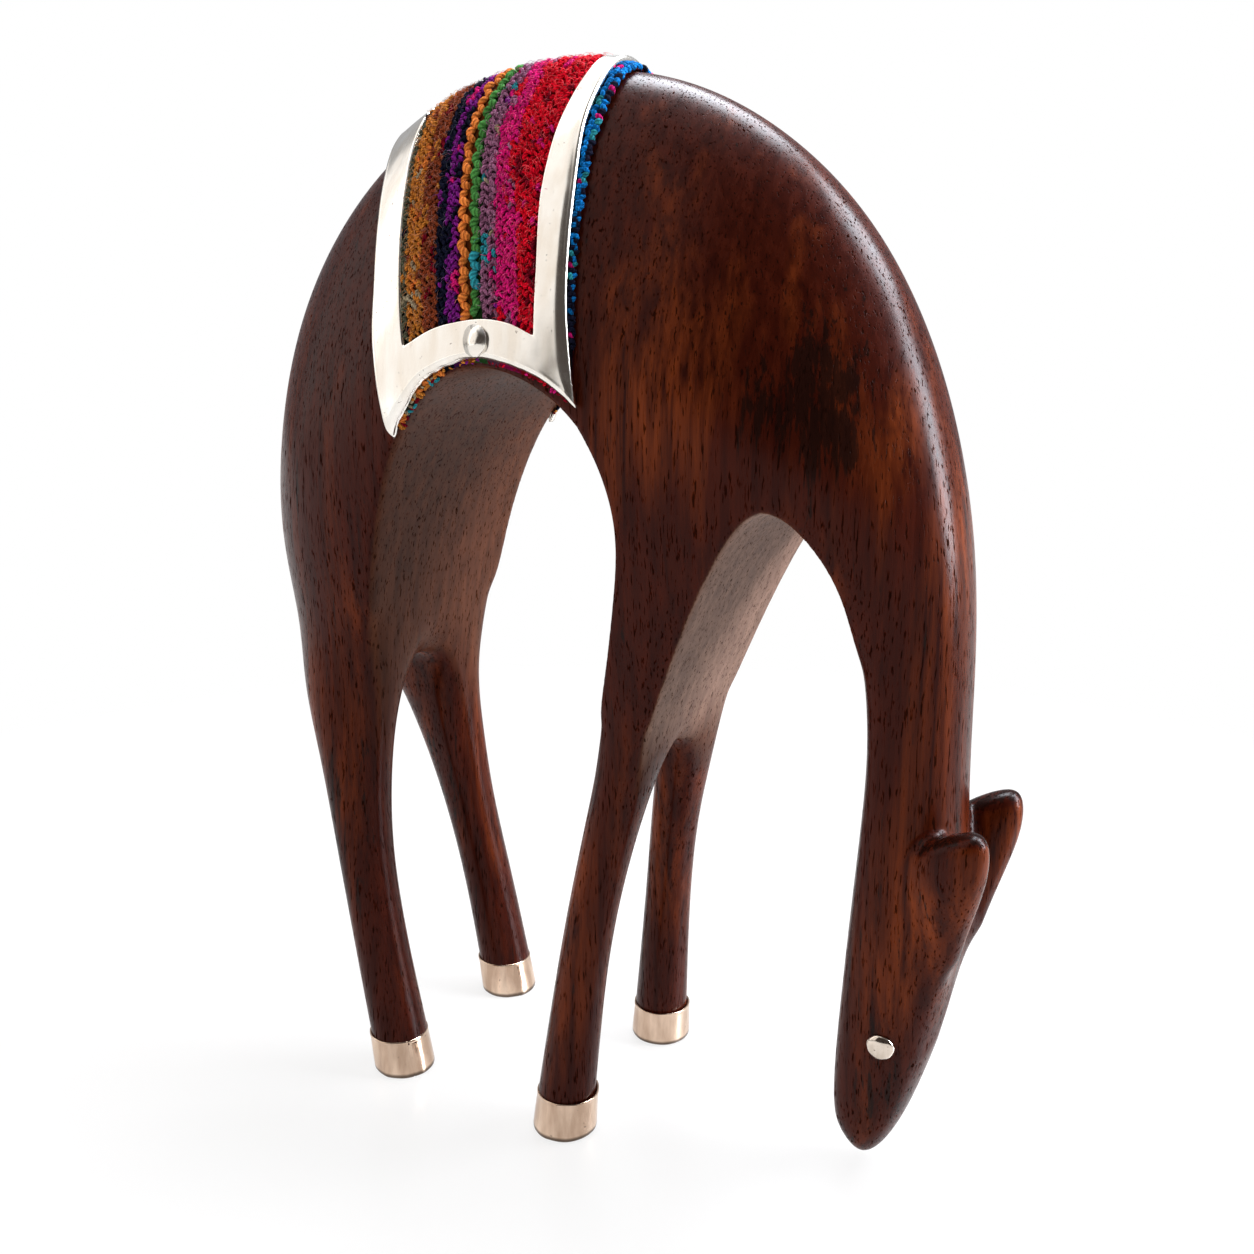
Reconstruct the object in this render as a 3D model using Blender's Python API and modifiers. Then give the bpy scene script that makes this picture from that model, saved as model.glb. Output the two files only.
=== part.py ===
"""A carved hardwood vicuna that grazes, nose down: one smooth arch of back, neck and head over two pairs of
legs, with silver hoof caps, silver stud eyes and a woven saddle cloth held by a silver frame.

Side view coordinates are millimetres: x forward from the line of the front hooves, z up from the floor.
The animal faces +X and is symmetric about y = 0, and widths are half widths."""

import math
from collections import namedtuple

import bmesh
import bpy
from mathutils import Vector
from mathutils.bvhtree import BVHTree

MM = 0.001
GAP = 0.3
ORIGIN_X = -1.1
SMOOTH_LEVEL = 2
KEPT_FACES = 0.6
MERGE = 0.00001

EDGE_CREASE = 0.52
LEG_CREASE = 0.25
FORK_CREASE = 0.45
FULL_CREASE = 1.0

# A rib crosses the arch of the body. Its crest is on the back, its belly on the inside of the arch, and its
# half widths run from the shoulder of the crest down the flank to the edge of the belly.
Rib = namedtuple("Rib", "crest belly shoulder upper lower edge")
RIB_SHARES = (0.0, 0.05, 0.36, 0.74, 1.0, 1.0)

HIND_RIBS = [
    Rib((-94, 116), (-54.5, 121), 13, 24, 27.5, 27),
    Rib((-100, 138), (-51.5, 138), 14, 26, 29.5, 28.5),
    Rib((-99.5, 166), (-46, 156), 13.5, 26, 31, 30.5),
]
TORSO_RIBS = [
    Rib((-91.5, 199), (-38, 171), 12, 24, 31, 32),
    Rib((-70.5, 228), (-28, 180.5), 10.5, 22, 31, 32.5),
    Rib((-39, 247), (-16.5, 184.5), 9.5, 21, 30.5, 32.5),
    Rib((-7, 250.3), (-4.5, 181.5), 9.5, 20.5, 30, 31.5),
]
SHOULDER_RIBS = [
    Rib((21.5, 245), (8.5, 173), 9.5, 21, 29, 30),
    Rib((45, 231), (21, 170), 9.5, 21, 29, 29),
    Rib((62, 213.5), (36, 165), 9.5, 20.5, 28, 28),
    Rib((73.5, 193), (49, 158), 9.5, 19.5, 26.5, 26.5),
]
NECK_RIBS = [
    Rib((81, 171), (58.5, 150.5), 9.5, 17.5, 23.5, 23),
    Rib((85.5, 148), (65, 138), 9, 15.5, 19.5, 18.5),
    Rib((87, 126), (67, 123), 8.5, 14, 16.5, 15),
    Rib((87, 106), (68.2, 106), 8.5, 13, 15, 13),
]
HEAD_RIBS = [
    Rib((87.5, 90), (67, 88), 8.5, 14, 15.5, 12),
    Rib((89, 70), (65, 68), 9, 14.5, 14.5, 10.5),
    Rib((88, 48), (63.2, 46), 9, 12.5, 12.5, 9),
    Rib((81.5, 25), (61.8, 24), 7, 10, 10.5, 8),
    Rib((76, 9.6), (62.3, 9.6), 5.8, 8.6, 8.8, 6.6),
]

# A slab spans both front legs above their fork. Its rear and front points are in side view.
Slab = namedtuple("Slab", "rear front rear_width side_width front_width")
FRONT_SLABS = [
    Slab((17.5, 153), (41.5, 149), 28.5, 28.5, 26.5),
    Slab((15, 135), (33.5, 134), 26.5, 27, 25),
    Slab((11.6, 116), (26, 116), 24.5, 25, 23),
    Slab((8.8, 104), (21.3, 104), 23.5, 24, 22),
]

# A leg ring is an oval round the leg: its middle, its half depth along x and its half width along y.
Ring = namedtuple("Ring", "x y z depth width")
HIND_RINGS = [
    Ring(-71, 15.5, 101, 14, 11.5),
    Ring(-67.7, 19.5, 83, 9.8, 8.3),
    Ring(-63.8, 22.5, 60, 7.2, 6.8),
    Ring(-58, 24, 34, 6.9, 6.8),
    Ring(-53, 24, 10.3, 7.4, 7.3),
]
FRONT_RINGS = [
    Ring(12.2, 15, 90, 6.6, 8.5),
    Ring(7.5, 18, 70, 6.1, 6.3),
    Ring(3.7, 21.5, 45, 5.8, 5.8),
    Ring(0.3, 24.2, 10.3, 7.1, 7.1),
]
OVAL_CAGE = 1.0 / (2 / 3 + math.cos(math.radians(45)) / 3)

# The roof of each fork, front and rear, on the plane of symmetry.
HIND_FORK = ((-57.5, 108), (-87, 106))
FRONT_FORK = ((18, 96), (10.5, 95.8))
# The inner corners of each top ring stand high, so that the fork is round and wide: their y and z.
HIND_SHOULDER = (7.5, 106)
FRONT_SHOULDER = (7, 94.5)

# An ear ring is a rounded box. It has rear and front points in side view, the half width of its inner face,
# and those of its outer face, which is flush with the head at the rear and stands out at the front.
EarRing = namedtuple("EarRing", "rear front inner outer_rear outer_front")
EAR_RINGS = [
    EarRing((80, 36), (84, 37), 2.5, 7.5, 6),
    EarRing((79, 55), (89.3, 56.5), 4, 11.2, 11.2),
    EarRing((78, 69), (93.2, 71), 5.5, 13.8, 16),
    EarRing((77.5, 79), (97.8, 84.5), 7.5, 15.8, 21.6),
    EarRing((79.5, 86.6), (96.4, 96), 9.5, 15.6, 20.8),
]
EAR_CREASE = 0.15

NOSE_TIP = ((69, 0, 1.2), (69, 5.3, 1.8))

CAP_HEIGHT = 10.0
CAP_TOP_RADIUS = 7.6
CAP_FLOOR_RADIUS = 7.9
CAP_SIDES = 28
CAP_EDGE = 0.5
HIND_CAP_X = (-51.6, -53.3)
HIND_CAP_Y = (24, 24)
FRONT_CAP_X = (0, 0.7)
FRONT_CAP_Y = (24.7, 24)

EYE = (74.8, 37.2)
EYE_RADIUS = 3.1
RIVET = (-13.8, 189.3)
RIVET_RADIUS = 3.2
STUD_RISE = 0.55
STUD_SIDES = 14
STUD_RINGS = 6

# Thin cuts part the wood: two points in side view, and the half width of the cut.
Cut = namedtuple("Cut", "start end half_width")
CUTS = [
    Cut((90, 168.5), (56, 143.5), 40),
    Cut((96, 98), (60, 91), 30),
    Cut((-10, 95), (40, 95), 45),
    Cut((-105, 104), (-35, 104), 45),
]
WOOD_NODES = {
    "torso": (-10, 0, 215),
    "neck": (78, 0, 125),
    "head": (73, 0, 40),
    "front_leg_left": (6, 21, 50),
    "front_leg_right": (6, -21, 50),
    "hind_leg_left": (-60, 24, 50),
    "hind_leg_right": (-60, -24, 50),
}

# The saddle lies over the back in layers, each an offset from the wood.
CLOTH_TOP = 1.6
FRAME_UNDER = CLOTH_TOP + GAP
FRAME_TOP = 3.0
CROWN_UNDER = 0.8
CROWN_TOP = 3.5
ABOVE_BACK = 262
PRISM_HALF_WIDTH = 45
PRISM_CURVE_STEPS = 4

# Side view outlines. The frame's edges run from its fangs up over the back.
REAR_OUTER = [(-40, 168), (-43.8, 185), (-46.7, 203), (-50.8, 221), (-53.3, 235), (-54, ABOVE_BACK)]
REAR_INNER = [(-44.5, ABOVE_BACK), (-43.5, 234), (-41, 220), (-37.3, 203), (-33.8, 188)]
BAR_TOP = [(-33.8, 188), (-25, 191.8), (-14.5, 193.5), (-7, 192.8), (-0.7, 190.3)]
FRONT_INNER = [(-0.7, 190.3), (-1.8, 204), (-3.5, 218), (-3.4, 230), (-1.8, 239),
               (-0.4, 245), (-1, 250), (-2, ABOVE_BACK)]
FRONT_OUTER = [(4.5, ABOVE_BACK), (4.5, 250), (4, 243), (3.2, 232), (4.3, 218), (6.2, 197), (9.4, 175.5)]
BAR_BOTTOM = [(9.4, 175.5), (-1, 182.1), (-15, 185.4), (-28, 181.4), (-36.2, 173.5), (-40, 168)]
CLOTH_REAR = [(-36.2, 173), (-41.8, 190), (-45.5, 210), (-48, 228), (-49, ABOVE_BACK)]
CLOTH_FRONT = [(7.3, ABOVE_BACK), (7.3, 250), (6.6, 243), (5.4, 230), (5.6, 218),
               (6.3, 205), (7.7, 190), (8, 177.5)]
CLOTH_BOTTOM = [(8, 177.5), (-1, 181.5), (-15, 184.8), (-27.5, 181), (-36.2, 173)]
WINDOW_INSET = 0.5

Finish = namedtuple("Finish", "color metallic roughness")
WOOD = Finish((0.09, 0.03, 0.018), 0.0, 0.38)
SILVER = Finish((0.86, 0.83, 0.79), 1.0, 0.16)
WOOL = Finish((0.45, 0.05, 0.14), 0.0, 0.95)


def clear_scene():
    for obj in list(bpy.data.objects):
        bpy.data.objects.remove(obj)


def at(x, y, z):
    return Vector(((x - ORIGIN_X) * MM, y * MM, z * MM))


def new_collection(name):
    collection = bpy.data.collections.new(name)
    bpy.context.scene.collection.children.link(collection)
    return collection


def material(name, finish):
    made = bpy.data.materials.new(name)
    made.use_nodes = True
    shader = made.node_tree.nodes["Principled BSDF"]
    shader.inputs["Base Color"].default_value = (*finish.color, 1)
    shader.inputs["Metallic"].default_value = finish.metallic
    shader.inputs["Roughness"].default_value = finish.roughness
    return made


def rib_points(rib):
    """Half of a rib, from the crest to the middle of the belly."""
    (crest_x, crest_z), (belly_x, belly_z) = rib.crest, rib.belly
    widths = (0, rib.shoulder, rib.upper, rib.lower, rib.edge, 0)
    points = []
    for share, width in zip(RIB_SHARES, widths):
        x = crest_x + (belly_x - crest_x) * share
        z = crest_z + (belly_z - crest_z) * share
        points.append(at(x, width, z))
    return points


def slab_points(slab):
    """Half of a slab, from the middle of its rear face round to the middle of its front face."""
    (rear_x, rear_z), (front_x, front_z) = slab.rear, slab.front
    shares = (0, 0, 1 / 3, 2 / 3, 1, 1)
    widths = (0, slab.rear_width, slab.side_width, slab.side_width, slab.front_width, 0)
    points = []
    for share, width in zip(shares, widths):
        points.append(at(rear_x + (front_x - rear_x) * share, width, rear_z + (front_z - rear_z) * share))
    return points


def ring_points(ring):
    """The eight points round a leg, from its rear by its outer side to its front and back inside."""
    points = []
    for index in range(8):
        angle = math.radians(45 * index - 22.5)
        x = ring.x - ring.depth * OVAL_CAGE * math.cos(angle)
        y = ring.y + ring.width * OVAL_CAGE * math.sin(angle)
        points.append(at(x, y, ring.z))
    return points


class Cage:
    """A half body of quads on the +Y side, open at y = 0."""

    def __init__(self):
        self.mesh = bmesh.new()
        self.crease = self.mesh.edges.layers.float.new("crease_edge")

    def row(self, points):
        return [self.mesh.verts.new(point) for point in points]

    def strip(self, row, following):
        for index in range(len(row) - 1):
            self.mesh.faces.new((row[index], row[index + 1], following[index + 1], following[index]))

    def tube(self, ring, following):
        for index in range(len(ring)):
            after = (index + 1) % len(ring)
            self.mesh.faces.new((ring[index], ring[after], following[after], following[index]))

    def sharpen(self, line, crease):
        for first, second in zip(line, line[1:]):
            edge = self.mesh.edges.get((first, second))
            edge[self.crease] = crease


def leg(cage, slab_row, fork, shoulder, rings):
    """The leg below a half slab: the fork between the legs, then ring after ring down to the hoof."""
    (front_x, front_z), (rear_x, rear_z) = fork
    front_roof = cage.mesh.verts.new(at(front_x, 0, front_z))
    rear_roof = cage.mesh.verts.new(at(rear_x, 0, rear_z))
    rows = [cage.row(ring_points(ring)) for ring in rings]
    top = rows[0]
    for vert in top[6:]:
        vert.co.y, vert.co.z = shoulder[0] * MM, shoulder[1] * MM
    cage.strip(slab_row, top[:6])
    cage.mesh.faces.new((slab_row[5], front_roof, top[6], top[5]))
    cage.mesh.faces.new((front_roof, rear_roof, top[7], top[6]))
    cage.mesh.faces.new((rear_roof, slab_row[0], top[0], top[7]))
    for ring, following in zip(rows, rows[1:]):
        cage.tube(ring, following)
    sole = rows[-1]
    cage.mesh.faces.new(sole)
    cage.sharpen(sole + sole[:1], FULL_CREASE)
    cage.sharpen([front_roof, top[6], rows[1][6], rows[2][6]], FORK_CREASE)
    return rows


def body_cage():
    """The coarse cage of the whole animal without its ears."""
    cage = Cage()
    arch = HIND_RIBS + TORSO_RIBS + SHOULDER_RIBS + NECK_RIBS + HEAD_RIBS
    ribs = [cage.row(rib_points(rib)) for rib in arch]
    first = len(HIND_RIBS) + len(TORSO_RIBS)
    last = first + len(SHOULDER_RIBS) - 1
    for index, (rib, following) in enumerate(zip(ribs, ribs[1:])):
        over_leg = first <= index < last
        points = 5 if over_leg else 6
        cage.strip(following[:points], rib[:points])
    edge = [rib[4] for rib in ribs[:first + 1]]
    cage.sharpen(edge, EDGE_CREASE)
    neck_edge = [rib[4] for rib in ribs[last:last + len(NECK_RIBS)]]
    cage.sharpen(neck_edge, EDGE_CREASE)

    muzzle = ribs[-1]
    tip_low = cage.mesh.verts.new(at(*NOSE_TIP[0]))
    tip_side = cage.mesh.verts.new(at(*NOSE_TIP[1]))
    cage.mesh.faces.new((muzzle[0], muzzle[1], tip_side, tip_low))
    cage.mesh.faces.new((muzzle[1], muzzle[2], muzzle[3], tip_side))
    cage.mesh.faces.new((muzzle[3], muzzle[4], muzzle[5], tip_low, tip_side))

    hind = leg(cage, ribs[0], HIND_FORK, HIND_SHOULDER, HIND_RINGS)
    cage.sharpen([ribs[0][4]] + [row[4] for row in hind[:3]], LEG_CREASE)

    opening = [ribs[first][5]] + [ribs[index][4] for index in range(first, last + 1)] + [ribs[last][5]]
    slabs = [opening] + [cage.row(slab_points(slab)) for slab in FRONT_SLABS]
    for slab, following in zip(slabs, slabs[1:]):
        cage.strip(slab, following)
    front = leg(cage, slabs[-1], FRONT_FORK, FRONT_SHOULDER, FRONT_RINGS)
    for corner in (1, 4):
        cage.sharpen([slab[corner] for slab in slabs], EDGE_CREASE)
        cage.sharpen([slabs[-1][corner], front[0][corner], front[1][corner]], LEG_CREASE)
    bmesh.ops.recalc_face_normals(cage.mesh, faces=cage.mesh.faces[:])
    return cage.mesh


def mesh_object(name, mesh, collection):
    data = bpy.data.meshes.new(name)
    mesh.to_mesh(data)
    mesh.free()
    obj = bpy.data.objects.new(name, data)
    collection.objects.link(obj)
    return obj


def smooth(obj, level=SMOOTH_LEVEL):
    modifier = obj.modifiers.new("Smooth", "SUBSURF")
    modifier.levels = level
    modifier.render_levels = level


def bake(obj):
    """Gives an object the mesh that its modifiers make, and removes them."""
    bpy.context.view_layer.update()
    graph = bpy.context.evaluated_depsgraph_get()
    data = bpy.data.meshes.new_from_object(obj.evaluated_get(graph))
    obj.modifiers.clear()
    obj.data = data


def boolean(obj, operation, other):
    modifier = obj.modifiers.new(operation.title(), "BOOLEAN")
    modifier.operation = operation
    modifier.solver = "EXACT"
    modifier.object = other


def smooth_body(name, collection):
    body = mesh_object(name, body_cage(), collection)
    mirror = body.modifiers.new("Mirror", "MIRROR")
    mirror.use_axis = (False, True, False)
    mirror.use_clip = True
    mirror.merge_threshold = MERGE
    smooth(body)
    thin = body.modifiers.new("Thin", "DECIMATE")
    thin.ratio = KEPT_FACES
    thin.use_symmetry = True
    thin.symmetry_axis = "Y"
    bake(body)
    return body


def ear(name, side, grow, collection):
    """One ear, a leaf with a flat cut top. It grows by an offset where it serves to cut its own pocket."""
    cage = Cage()
    rows = []
    last = len(EAR_RINGS) - 1
    for index, ring in enumerate(EAR_RINGS):
        lift = {0: -grow, last: grow}.get(index, 0)
        (rear_x, rear_z), (front_x, front_z) = ring.rear, ring.front
        points = []
        inner = ring.inner - grow
        corners = ((0, inner), (0, ring.outer_rear + grow), (1, ring.outer_front + grow), (1, inner))
        for share, width in corners:
            x = rear_x - grow if share == 0 else front_x + grow
            z = (rear_z if share == 0 else front_z) + lift
            points.append(at(x, side * width, z))
        rows.append(cage.row(points))
    for ring, following in zip(rows, rows[1:]):
        cage.tube(ring, following)
    cage.mesh.faces.new(rows[0])
    cage.mesh.faces.new(rows[-1])
    cage.sharpen(rows[-1] + rows[-1][:1], EAR_CREASE)
    bmesh.ops.recalc_face_normals(cage.mesh, faces=cage.mesh.faces[:])
    obj = mesh_object(name, cage.mesh, collection)
    smooth(obj)
    return obj


def cut_slab(cut, collection):
    """A box as thin as the gap, from one point in side view to the other."""
    start, end = at(cut.start[0], 0, cut.start[1]), at(cut.end[0], 0, cut.end[1])
    along = end - start
    mesh = bmesh.new()
    bmesh.ops.create_cube(mesh, size=1)
    obj = mesh_object("cut", mesh, collection)
    obj.scale = (along.length, 2 * cut.half_width * MM, GAP * MM)
    obj.rotation_euler = (0, -math.atan2(along.z, along.x), 0)
    obj.location = (start + end) / 2
    return obj


def loose_pieces(mesh):
    """The separate shells of a mesh, each as a list of faces."""
    left = set(mesh.faces)
    pieces = []
    while left:
        start = left.pop()
        piece, edge_of = [start], [start]
        while edge_of:
            face = edge_of.pop()
            for edge in face.edges:
                for other in edge.link_faces:
                    if other in left:
                        left.remove(other)
                        piece.append(other)
                        edge_of.append(other)
        pieces.append(piece)
    return pieces


def part_wood(whole, collection):
    """Makes one object for each piece that the cuts leave, named by the anchor nearest its middle."""
    source = bmesh.new()
    source.from_mesh(whole.data)
    made = {}
    for piece in loose_pieces(source):
        copies = {}
        mesh = bmesh.new()
        for face in piece:
            for vert in face.verts:
                if vert not in copies:
                    copies[vert] = mesh.verts.new(vert.co)
            mesh.faces.new([copies[vert] for vert in face.verts])
        middle = sum((vert.co for vert in mesh.verts), Vector()) / len(mesh.verts)
        name = min(WOOD_NODES, key=lambda node: (at(*WOOD_NODES[node]) - middle).length)
        made[name] = mesh_object(name, mesh, collection)
    source.free()
    return made


def offset_shell(name, inner, outer, collection):
    """A shell over the whole body, between two offsets from the wood."""
    shell = smooth_body(name, collection)
    displace = shell.modifiers.new("Displace", "DISPLACE")
    displace.mid_level = 0
    displace.strength = inner * MM
    solid = shell.modifiers.new("Solidify", "SOLIDIFY")
    solid.thickness = (outer - inner) * MM
    solid.offset = 1
    return shell


def prism(name, lines, collection):
    """A solid as wide as the animal, with a side view outline of smooth lines with corners between them."""
    curve = bpy.data.curves.new(name, "CURVE")
    curve.dimensions = "2D"
    curve.fill_mode = "BOTH"
    curve.extrude = PRISM_HALF_WIDTH * MM
    curve.resolution_u = PRISM_CURVE_STEPS
    spline = curve.splines.new("BEZIER")
    points = []
    for line in lines:
        first = 1 if points and points[-1][0] == line[0] else 0
        if first:
            points[-1] = (line[0], True)
        for index in range(first, len(line)):
            points.append((line[index], index in (0, len(line) - 1)))
    if points[-1][0] == points[0][0]:
        points.pop()
    spline.bezier_points.add(len(points) - 1)
    spline.use_cyclic_u = True
    for bezier, ((x, z), corner) in zip(spline.bezier_points, points):
        place = at(x, 0, z)
        bezier.co = (place.x, place.z, 0)
        kind = "VECTOR" if corner else "AUTO"
        bezier.handle_left_type = kind
        bezier.handle_right_type = kind
    guide = bpy.data.objects.new(name, curve)
    collection.objects.link(guide)
    guide.rotation_euler = (math.pi / 2, 0, 0)
    bpy.context.view_layer.update()
    graph = bpy.context.evaluated_depsgraph_get()
    data = bpy.data.meshes.new_from_object(guide.evaluated_get(graph))
    mesh = bmesh.new()
    mesh.from_mesh(data)
    bmesh.ops.remove_doubles(mesh, verts=mesh.verts[:], dist=MERGE)
    bmesh.ops.recalc_face_normals(mesh, faces=mesh.faces[:])
    mesh.to_mesh(data)
    mesh.free()
    obj = bpy.data.objects.new(name + "_prism", data)
    obj.matrix_world = guide.matrix_world
    collection.objects.link(obj)
    bpy.data.objects.remove(guide)
    return obj


def inset(line, amount):
    """A window line moved towards the middle of the window, in x and down from the bar's top edge."""
    middle = (REAR_INNER[0][0] + FRONT_INNER[-1][0]) / 2
    return [(x + amount * (1 if x < middle else -1), z + (amount if z < ABOVE_BACK else 0)) for x, z in line]


def saddle(parts, cutters):
    cloth = offset_shell("saddle_cloth", GAP, CLOTH_TOP, parts)
    boolean(cloth, "INTERSECT", prism("cloth", [CLOTH_REAR, CLOTH_FRONT, CLOTH_BOTTOM], cutters))
    bake(cloth)
    crown = offset_shell("crown", CROWN_UNDER, CROWN_TOP, cutters)
    window = [inset(BAR_TOP[::-1], WINDOW_INSET), inset(REAR_INNER[::-1], WINDOW_INSET),
              inset(FRONT_INNER[::-1], WINDOW_INSET)]
    boolean(crown, "INTERSECT", prism("window", window, cutters))
    bake(crown)
    boolean(cloth, "UNION", crown)
    bake(cloth)
    frame = offset_shell("saddle_frame", FRAME_UNDER, FRAME_TOP, parts)
    outline = [REAR_OUTER, REAR_INNER, BAR_TOP, FRONT_INNER, FRONT_OUTER, BAR_BOTTOM]
    boolean(frame, "INTERSECT", prism("frame", outline, cutters))
    bake(frame)
    return cloth, frame


def surface_at(obj, x, z, side):
    """The point and the normal where a line along y from outside meets an object."""
    tree = BVHTree.FromObject(obj, bpy.context.evaluated_depsgraph_get())
    place, normal, _, _ = tree.ray_cast(at(x, side * 2 * PRISM_HALF_WIDTH, z), Vector((0, -side, 0)))
    return place, normal


def stud(name, carrier, x, z, side, radius, grow, collection):
    """A domed stud, part sunk in the surface that carries it."""
    place, normal = surface_at(carrier, x, z, side)
    mesh = bmesh.new()
    bmesh.ops.create_uvsphere(mesh, u_segments=STUD_SIDES, v_segments=STUD_RINGS, radius=1)
    obj = mesh_object(name, mesh, collection)
    width, rise = (radius + grow) * MM, (radius * STUD_RISE + grow) * MM
    obj.scale = (width, width, rise)
    obj.rotation_euler = normal.to_track_quat("Z", "Y").to_euler()
    obj.location = place
    bpy.context.view_layer.update()
    return obj


def hoof_cap(name, x_line, y_line, side, collection):
    """A silver cap under a leg: a short cone whose top leans with the leg, on its flat sole."""
    mesh = bmesh.new()
    bmesh.ops.create_cone(mesh, cap_ends=True, segments=CAP_SIDES, radius1=CAP_FLOOR_RADIUS * MM,
                          radius2=CAP_TOP_RADIUS * MM, depth=CAP_HEIGHT * MM)
    lean = Vector((x_line[1] - x_line[0], side * (y_line[1] - y_line[0]), 0)) * MM
    for vert in mesh.verts:
        if vert.co.z > 0:
            vert.co += lean
    obj = mesh_object(name, mesh, collection)
    obj.location = at(x_line[0], side * y_line[0], CAP_HEIGHT / 2)
    bevel = obj.modifiers.new("Bevel", "BEVEL")
    bevel.width = CAP_EDGE * MM
    bevel.limit_method = "ANGLE"
    return obj


def main():
    clear_scene()
    parts = new_collection("vicuna")
    cutters = new_collection("cutters")
    wood, silver, wool = material("wood", WOOD), material("silver", SILVER), material("wool", WOOL)

    whole = smooth_body("whole", cutters)
    slabs = bpy.data.collections.new("slabs")
    cutters.children.link(slabs)
    for cut in CUTS:
        cut_slab(cut, slabs)
    modifier = whole.modifiers.new("Part", "BOOLEAN")
    modifier.operation = "DIFFERENCE"
    modifier.operand_type = "COLLECTION"
    modifier.collection = slabs
    bake(whole)
    pieces = part_wood(whole, parts)
    head = pieces["head"]
    eyes = []
    for label, side in (("left", 1), ("right", -1)):
        pieces["ear_" + label] = ear("ear_" + label, side, 0, parts)
        pocket = ear("ear_pocket_" + label, side, GAP, cutters)
        boolean(head, "DIFFERENCE", pocket)
        eyes.append(stud("eye_" + label, whole, *EYE, side, EYE_RADIUS, 0, parts))
        boolean(head, "DIFFERENCE", stud("eye_pocket_" + label, whole, *EYE, side, EYE_RADIUS, GAP, cutters))
    bake(head)

    cloth, frame = saddle(parts, cutters)
    metal = [frame] + eyes
    for label, side in (("left", 1), ("right", -1)):
        metal.append(stud("rivet_" + label, frame, *RIVET, side, RIVET_RADIUS, 0, parts))
        pocket = stud("rivet_pocket_" + label, frame, *RIVET, side, RIVET_RADIUS, GAP, cutters)
        boolean(frame, "DIFFERENCE", pocket)
        boolean(cloth, "DIFFERENCE", pocket)
        metal.append(hoof_cap("hoof_cap_front_" + label, FRONT_CAP_X, FRONT_CAP_Y, side, parts))
        metal.append(hoof_cap("hoof_cap_hind_" + label, HIND_CAP_X, HIND_CAP_Y, side, parts))
    for obj in pieces.values():
        obj.data.materials.append(wood)
    for obj in metal:
        obj.data.materials.append(silver)
    cloth.data.materials.append(wool)
    for obj in parts.objects:
        obj.data.shade_smooth()
    for obj in cutters.all_objects:
        obj.hide_render = True
        obj.display_type = "WIRE"


main()
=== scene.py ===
"""A carved hardwood vicuna that grazes, dressed as in the photograph: one skin of oiled wood, silver hoof
caps, stud eyes and saddle frame, and a knitted saddle cloth.

Side view coordinates are millimetres: x forward from the line of the front hooves, z up from the floor.
The animal faces +X and is symmetric about y = 0, and widths are half widths."""

import math
import random
from collections import namedtuple

import bmesh
import bpy
import numpy as np
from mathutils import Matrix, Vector, noise
from mathutils.bvhtree import BVHTree

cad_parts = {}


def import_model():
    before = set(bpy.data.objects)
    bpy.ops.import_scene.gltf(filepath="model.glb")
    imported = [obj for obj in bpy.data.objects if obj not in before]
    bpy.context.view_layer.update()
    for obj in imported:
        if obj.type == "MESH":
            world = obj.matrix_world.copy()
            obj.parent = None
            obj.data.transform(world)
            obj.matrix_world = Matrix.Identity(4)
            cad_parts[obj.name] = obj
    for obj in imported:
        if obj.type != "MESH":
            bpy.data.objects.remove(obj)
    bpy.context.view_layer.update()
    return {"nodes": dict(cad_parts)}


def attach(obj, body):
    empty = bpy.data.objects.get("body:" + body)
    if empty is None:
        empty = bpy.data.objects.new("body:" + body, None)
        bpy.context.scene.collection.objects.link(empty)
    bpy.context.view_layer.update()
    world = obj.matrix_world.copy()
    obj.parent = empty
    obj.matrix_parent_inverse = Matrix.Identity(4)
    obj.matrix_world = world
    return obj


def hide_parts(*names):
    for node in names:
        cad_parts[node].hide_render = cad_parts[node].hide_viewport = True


MM = 0.001
ORIGIN_X = -1.1
SMOOTH_LEVEL = 4
SEED = 11

EDGE_CREASE = 0.52
LEG_CREASE = 0.25
FORK_CREASE = 0.45
FULL_CREASE = 1.0

Rib = namedtuple("Rib", "crest belly shoulder upper lower edge")
RIB_SHARES = (0.0, 0.05, 0.36, 0.74, 1.0, 1.0)

HIND_RIBS = [
    Rib((-94, 116), (-54.5, 121), 13, 24, 27.5, 27),
    Rib((-100, 138), (-51.5, 138), 14, 26, 29.5, 28.5),
    Rib((-99.5, 166), (-46, 156), 13.5, 26, 31, 30.5),
]
TORSO_RIBS = [
    Rib((-91.5, 199), (-38, 171), 12, 24, 31, 32),
    Rib((-70.5, 228), (-28, 180.5), 10.5, 22, 31, 32.5),
    Rib((-39, 247), (-16.5, 184.5), 9.5, 21, 30.5, 32.5),
    Rib((-7, 250.3), (-4.5, 181.5), 9.5, 20.5, 30, 31.5),
]
SHOULDER_RIBS = [
    Rib((21.5, 245), (8.5, 173), 9.5, 21, 29, 30),
    Rib((45, 231), (21, 170), 9.5, 21, 29, 29),
    Rib((62, 213.5), (36, 165), 9.5, 20.5, 28, 28),
    Rib((73.5, 193), (49, 158), 9.5, 19.5, 26.5, 26.5),
]
NECK_RIBS = [
    Rib((81, 171), (58.5, 150.5), 9.5, 17.5, 23.5, 23),
    Rib((85.5, 148), (65, 138), 9, 15.5, 19.5, 18.5),
    Rib((87, 126), (67, 123), 8.5, 14, 16.5, 15),
    Rib((87, 106), (68.2, 106), 8.5, 13, 15, 13),
]
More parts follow.
